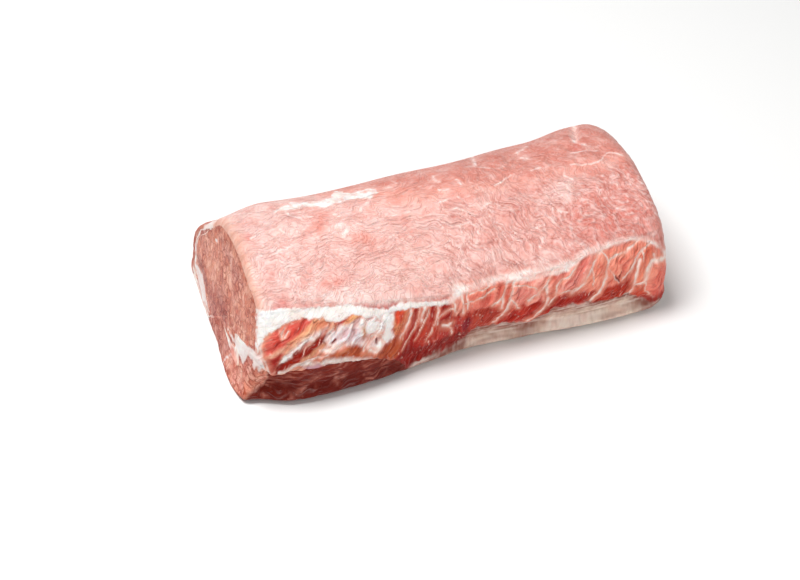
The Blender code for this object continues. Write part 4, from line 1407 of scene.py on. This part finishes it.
def bundle_end_colour(tree, lean, grain, blotches):
    """The colour of a cut, where the fibre bundles end in wavy cells, with brown-red lines between them."""
    sway = node(tree, "TexNoise", {"Vector": grain, "Scale": 1 / SWAY, "Detail": 3}).outputs["Color"]
    swayed = {0: sway, 1: SWAY_REACH, 2: grain}
    swayed = node(tree, "VectorMath", swayed, operation="MULTIPLY_ADD").outputs["Vector"]
    lines = []
    for size, line_width in ((LARGE_BUNDLE, 0.24), (SMALL_BUNDLE, 0.2)):
        edges = node(
            tree,
            "TexVoronoi",
            {"Vector": swayed, "Scale": 1 / size},
            voronoi_dimensions="2D",
            feature="DISTANCE_TO_EDGE",
        )
        span = {"Value": edges.outputs["Distance"], "From Min": 0.02, "From Max": line_width, **FALLING}
        lines.append(node(tree, "MapRange", span, **SMOOTH).outputs["Result"])
    fainter = node(tree, "Math", {0: lines[1], 1: 0.5}, operation="MULTIPLY").outputs[0]
    lines = node(tree, "Math", {0: lines[0], 1: fainter}, operation="MAXIMUM").outputs[0]
    uneven = {"Value": blotches, "From Min": 0.35, "From Max": 0.6, "To Min": 0.35, "To Max": 1.0}
    uneven = node(tree, "MapRange", uneven).outputs["Result"]
    lines = node(tree, "Math", {0: lines, 1: uneven}, operation="MULTIPLY").outputs[0]

    # Each large bundle has a tone of its own, from darker to paler.
    tone = {"Vector": swayed, "Scale": 1 / LARGE_BUNDLE}
    tone = node(tree, "TexVoronoi", tone, voronoi_dimensions="2D").outputs["Color"]
    tone = node(tree, "MapRange", {"Value": tone, "From Min": 0.25, "From Max": 0.75}).outputs["Result"]
    darker = node(tree, "Mix", {A: lean, B: paint("#f1dad3"), "Factor": 1.0}, **DARKENED).outputs[MIXED]
    paler = node(tree, "Mix", {A: lean, B: paint("#fbd6c9"), "Factor": 0.2}, **BLENDED).outputs[MIXED]
    cell = node(tree, "Mix", {"Factor": tone, A: darker, B: paler}, **BLENDED).outputs[MIXED]
    return node(tree, "Mix", {A: cell, B: paint("#bf8b79"), "Factor": lines}, **DARKENED).outputs[MIXED]


def fat_cover(tree, fat, specks):
    """How far white fat covers, with ragged edges."""
    ragged = {"Value": specks, "From Min": 0.3, "From Max": 0.7, "To Min": -0.22, "To Max": 0.22}
    ragged = node(tree, "MapRange", ragged).outputs["Result"]
    ragged = node(tree, "Math", {0: fat, 1: ragged}, operation="ADD").outputs[0]
    ragged = {"Value": ragged, "From Min": 0.15, "From Max": 0.85}
    return node(tree, "MapRange", ragged, **SMOOTH).outputs["Result"]


def fat_colour(tree, blotches):
    """White fat with cream blotches."""
    share = node(tree, "MapRange", {"Value": blotches, "From Min": 0.4, "From Max": 0.7}).outputs["Result"]
    tones = {"Factor": share, A: paint("#f6f2ef"), B: paint("#ecdcd3")}
    return node(tree, "Mix", tones, **BLENDED).outputs[MIXED]


def meat(name, fibre, wrinkle, roughness, gloss, bundles=1):
    """Raw meat: its painted colour with mottling, fibres and wrinkles, and white fat over it.

    fibre and wrinkle each give a width in mm, a depth in mm and how far they tint the colour: the fibres
    paler, and the wrinkles deeper as painted shade. bundles is how far the ends of the fibre bundles show in
    the cuts.
    Real fibres are 0.1 mm wide, too fine to show, so they are drawn as bundles of about 1 mm.
    """
    fibre_mm, fibre_depth, fibre_tint = fibre
    wrinkle_mm, wrinkle_depth, wrinkle_shade = wrinkle
    material = bpy.data.materials.new(name)
    material.use_nodes = True
    tree = material.node_tree
    shader = tree.nodes["Principled BSDF"]
    where = node(tree, "TexCoord").outputs["Object"]
    colour = node(tree, "Attribute", attribute_name="colour").outputs["Color"]
    fat = node(tree, "Attribute", attribute_name="fat").outputs["Fac"]
    grain = node(tree, "Attribute", attribute_name="grain").outputs["Vector"]
    ends = node(tree, "Attribute", attribute_name="bundle_ends").outputs["Fac"]

    blotches = {"Vector": where, "Scale": 1 / BLOTCH, "Detail": 3, "Roughness": 0.55}
    blotches = node(tree, "TexNoise", blotches).outputs["Fac"]
    specks = {"Vector": where, "Scale": 1 / SPECK, "Detail": 3, "Roughness": 0.6}
    specks = node(tree, "TexNoise", specks).outputs["Fac"]
    fibres = fibre_pattern(tree, grain, fibre_mm)
    wrinkles = wrinkle_pattern(tree, grain, wrinkle_mm)
    lean = lean_colour(tree, colour, blotches, fibres, wrinkles, fibre_tint, wrinkle_shade)
    cut = bundle_end_colour(tree, lean, grain, blotches)
    ends = node(tree, "Math", {0: ends, 1: bundles}, operation="MULTIPLY").outputs[0]
    lean = node(tree, "Mix", {"Factor": ends, A: lean, B: cut}, **BLENDED).outputs[MIXED]
    surface = {"Factor": fat_cover(tree, fat, specks), A: lean, B: fat_colour(tree, blotches)}
    surface = node(tree, "Mix", surface, **BLENDED).outputs[MIXED]

    matt = {"Value": specks, "From Min": 0.3, "From Max": 0.7}
    matt |= {"To Min": roughness - 0.07, "To Max": roughness + 0.1}
    matt = node(tree, "MapRange", matt).outputs["Result"]
    height = node(tree, "Math", {0: wrinkles, 1: -wrinkle_depth * MM}, operation="MULTIPLY").outputs[0]
    height = {0: fibres, 1: fibre_depth * MM, 2: height}
    height = node(tree, "Math", height, operation="MULTIPLY_ADD").outputs[0]
    height = {0: specks, 1: SPECK_DEPTH, 2: height}
    height = node(tree, "Math", height, operation="MULTIPLY_ADD").outputs[0]
    bumps = node(tree, "Bump", {"Height": height, "Strength": 1.0, "Distance": 1.0}).outputs["Normal"]
    for socket, value in (("Base Color", surface), ("Roughness", matt), ("Normal", bumps)):
        tree.links.new(value, shader.inputs[socket])
    shader.inputs["Specular IOR Level"].default_value = gloss
    for socket, value in FLESH_DEPTH.items():
        shader.inputs[socket].default_value = value
    return material


def pork_lean_under_silverskin():
    """Pork loin with its membrane left on: pale pink, satin and finely crinkled, with faint fibres in it."""
    name = "raw pork lean under silverskin"
    return meat(name, (1.3, 0.12, 0.14), (2.2, 0.2, 0.4), roughness=0.42, gloss=0.2)


def knife_cut_red_lean():
    """Pork muscle cut open along its fibres: deep red, coarse and moist, with soft lights on each bundle."""
    name = "knife-cut red pork lean"
    return meat(name, (0.9, 0.3, 0.12), (3.0, 0.12, 0.25), roughness=0.36, gloss=0.1)


def pork_back_fat():
    """Chilled back fat, trimmed with a knife: waxy, white to cream, almost without fibres or bundles."""
    name = "knife-trimmed pork back fat"
    return meat(name, (2.5, 0.2, 0.1), (3.0, 0.1, 0.1), roughness=0.5, gloss=0.25, bundles=0)


def moist_lean_below_fat():
    """Pork muscle where the fat was pulled off it: dark red-brown and moist, with little gloss. Its painted
    colour is darker still on the front, as painted shade.
    """
    name = "raw pork lean below the fat"
    return meat(name, (1.0, 0.3, 0.1), (3.0, 0.2, 0.35), roughness=0.42, gloss=0.08)


def belly_flap_lean():
    """Thin belly muscle, trimmed with a knife: brick red with pale streaks along it, and a soft gloss."""
    name = "raw pork lean of the belly flap"
    return meat(name, (1.0, 0.3, 0.15), (3.0, 0.2, 0.35), roughness=0.42, gloss=0.15)


def add_piece(piece, cad_node, material):
    """Puts a finished piece in the place of its solid."""
    piece.data.materials.append(material)
    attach(piece, "root")
    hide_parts(cad_node)


def make_floor():
    """A plain pale floor."""
    deselect_all()
    bpy.ops.mesh.primitive_plane_add(size=6)
    floor = bpy.context.object
    floor.name = "floor"
    material = bpy.data.materials.new("matt white floor")
    material.use_nodes = True
    shader = material.node_tree.nodes["Principled BSDF"]
    shader.inputs["Base Color"].default_value = (*hex_colour("#f4f4f3"), 1)
    shader.inputs["Roughness"].default_value = 0.8
    floor.data.materials.append(material)


def make_light(name, watts, size, spot):
    """A soft square light at a spot, turned to the loin."""
    bpy.ops.object.light_add(type="AREA", location=spot)
    light = bpy.context.object
    light.name = name
    light.data.shape = "SQUARE"
    light.data.size = size
    light.data.energy = watts
    light.rotation_euler = Vector(np.array(LIGHTS_AIM) - spot).to_track_quat("-Z", "Y").to_euler()


def make_surroundings():
    """Even light from all round, and colours shown as they are."""
    world = bpy.data.worlds.new("soft grey")
    world.use_nodes = True
    background = world.node_tree.nodes["Background"]
    background.inputs["Color"].default_value = (1, 1, 1, 1)
    background.inputs["Strength"].default_value = SURROUNDING_LIGHT
    bpy.context.scene.world = world
    bpy.context.scene.view_settings.view_transform = "Standard"


def make_camera():
    """The camera, from the front left and above."""
    camera = bpy.data.objects.new("camera", bpy.data.cameras.new("camera"))
    bpy.context.scene.collection.objects.link(camera)
    camera.data.lens = CAMERA_LENS
    camera.data.sensor_width = CAMERA_SENSOR_WIDTH
    camera.data.clip_start = 0.05
    axes = zip(CAMERA_RIGHT, CAMERA_DOWN, CAMERA_FORWARD, CAMERA_PLACE)
    rows = [(right, -down, -forward, place_on_axis) for right, down, forward, place_on_axis in axes]
    camera.matrix_world = Matrix((*rows, (0, 0, 0, 1)))
    bpy.context.scene.camera = camera


def main():
    add_piece(make_eye(), "loin_eye", pork_lean_under_silverskin())
    add_piece(make_strip(), "backbone_strip", knife_cut_red_lean())
    add_piece(make_back_fat(), "fat_layer", pork_back_fat())
    add_piece(make_lean_under_fat(), "under_lean", moist_lean_below_fat())
    add_piece(make_flap(), "belly_flap", belly_flap_lean())
    make_floor()
    make_light("key", *KEY_LIGHT)
    make_light("fill", *FILL_LIGHT)
    make_surroundings()
    make_camera()


main()
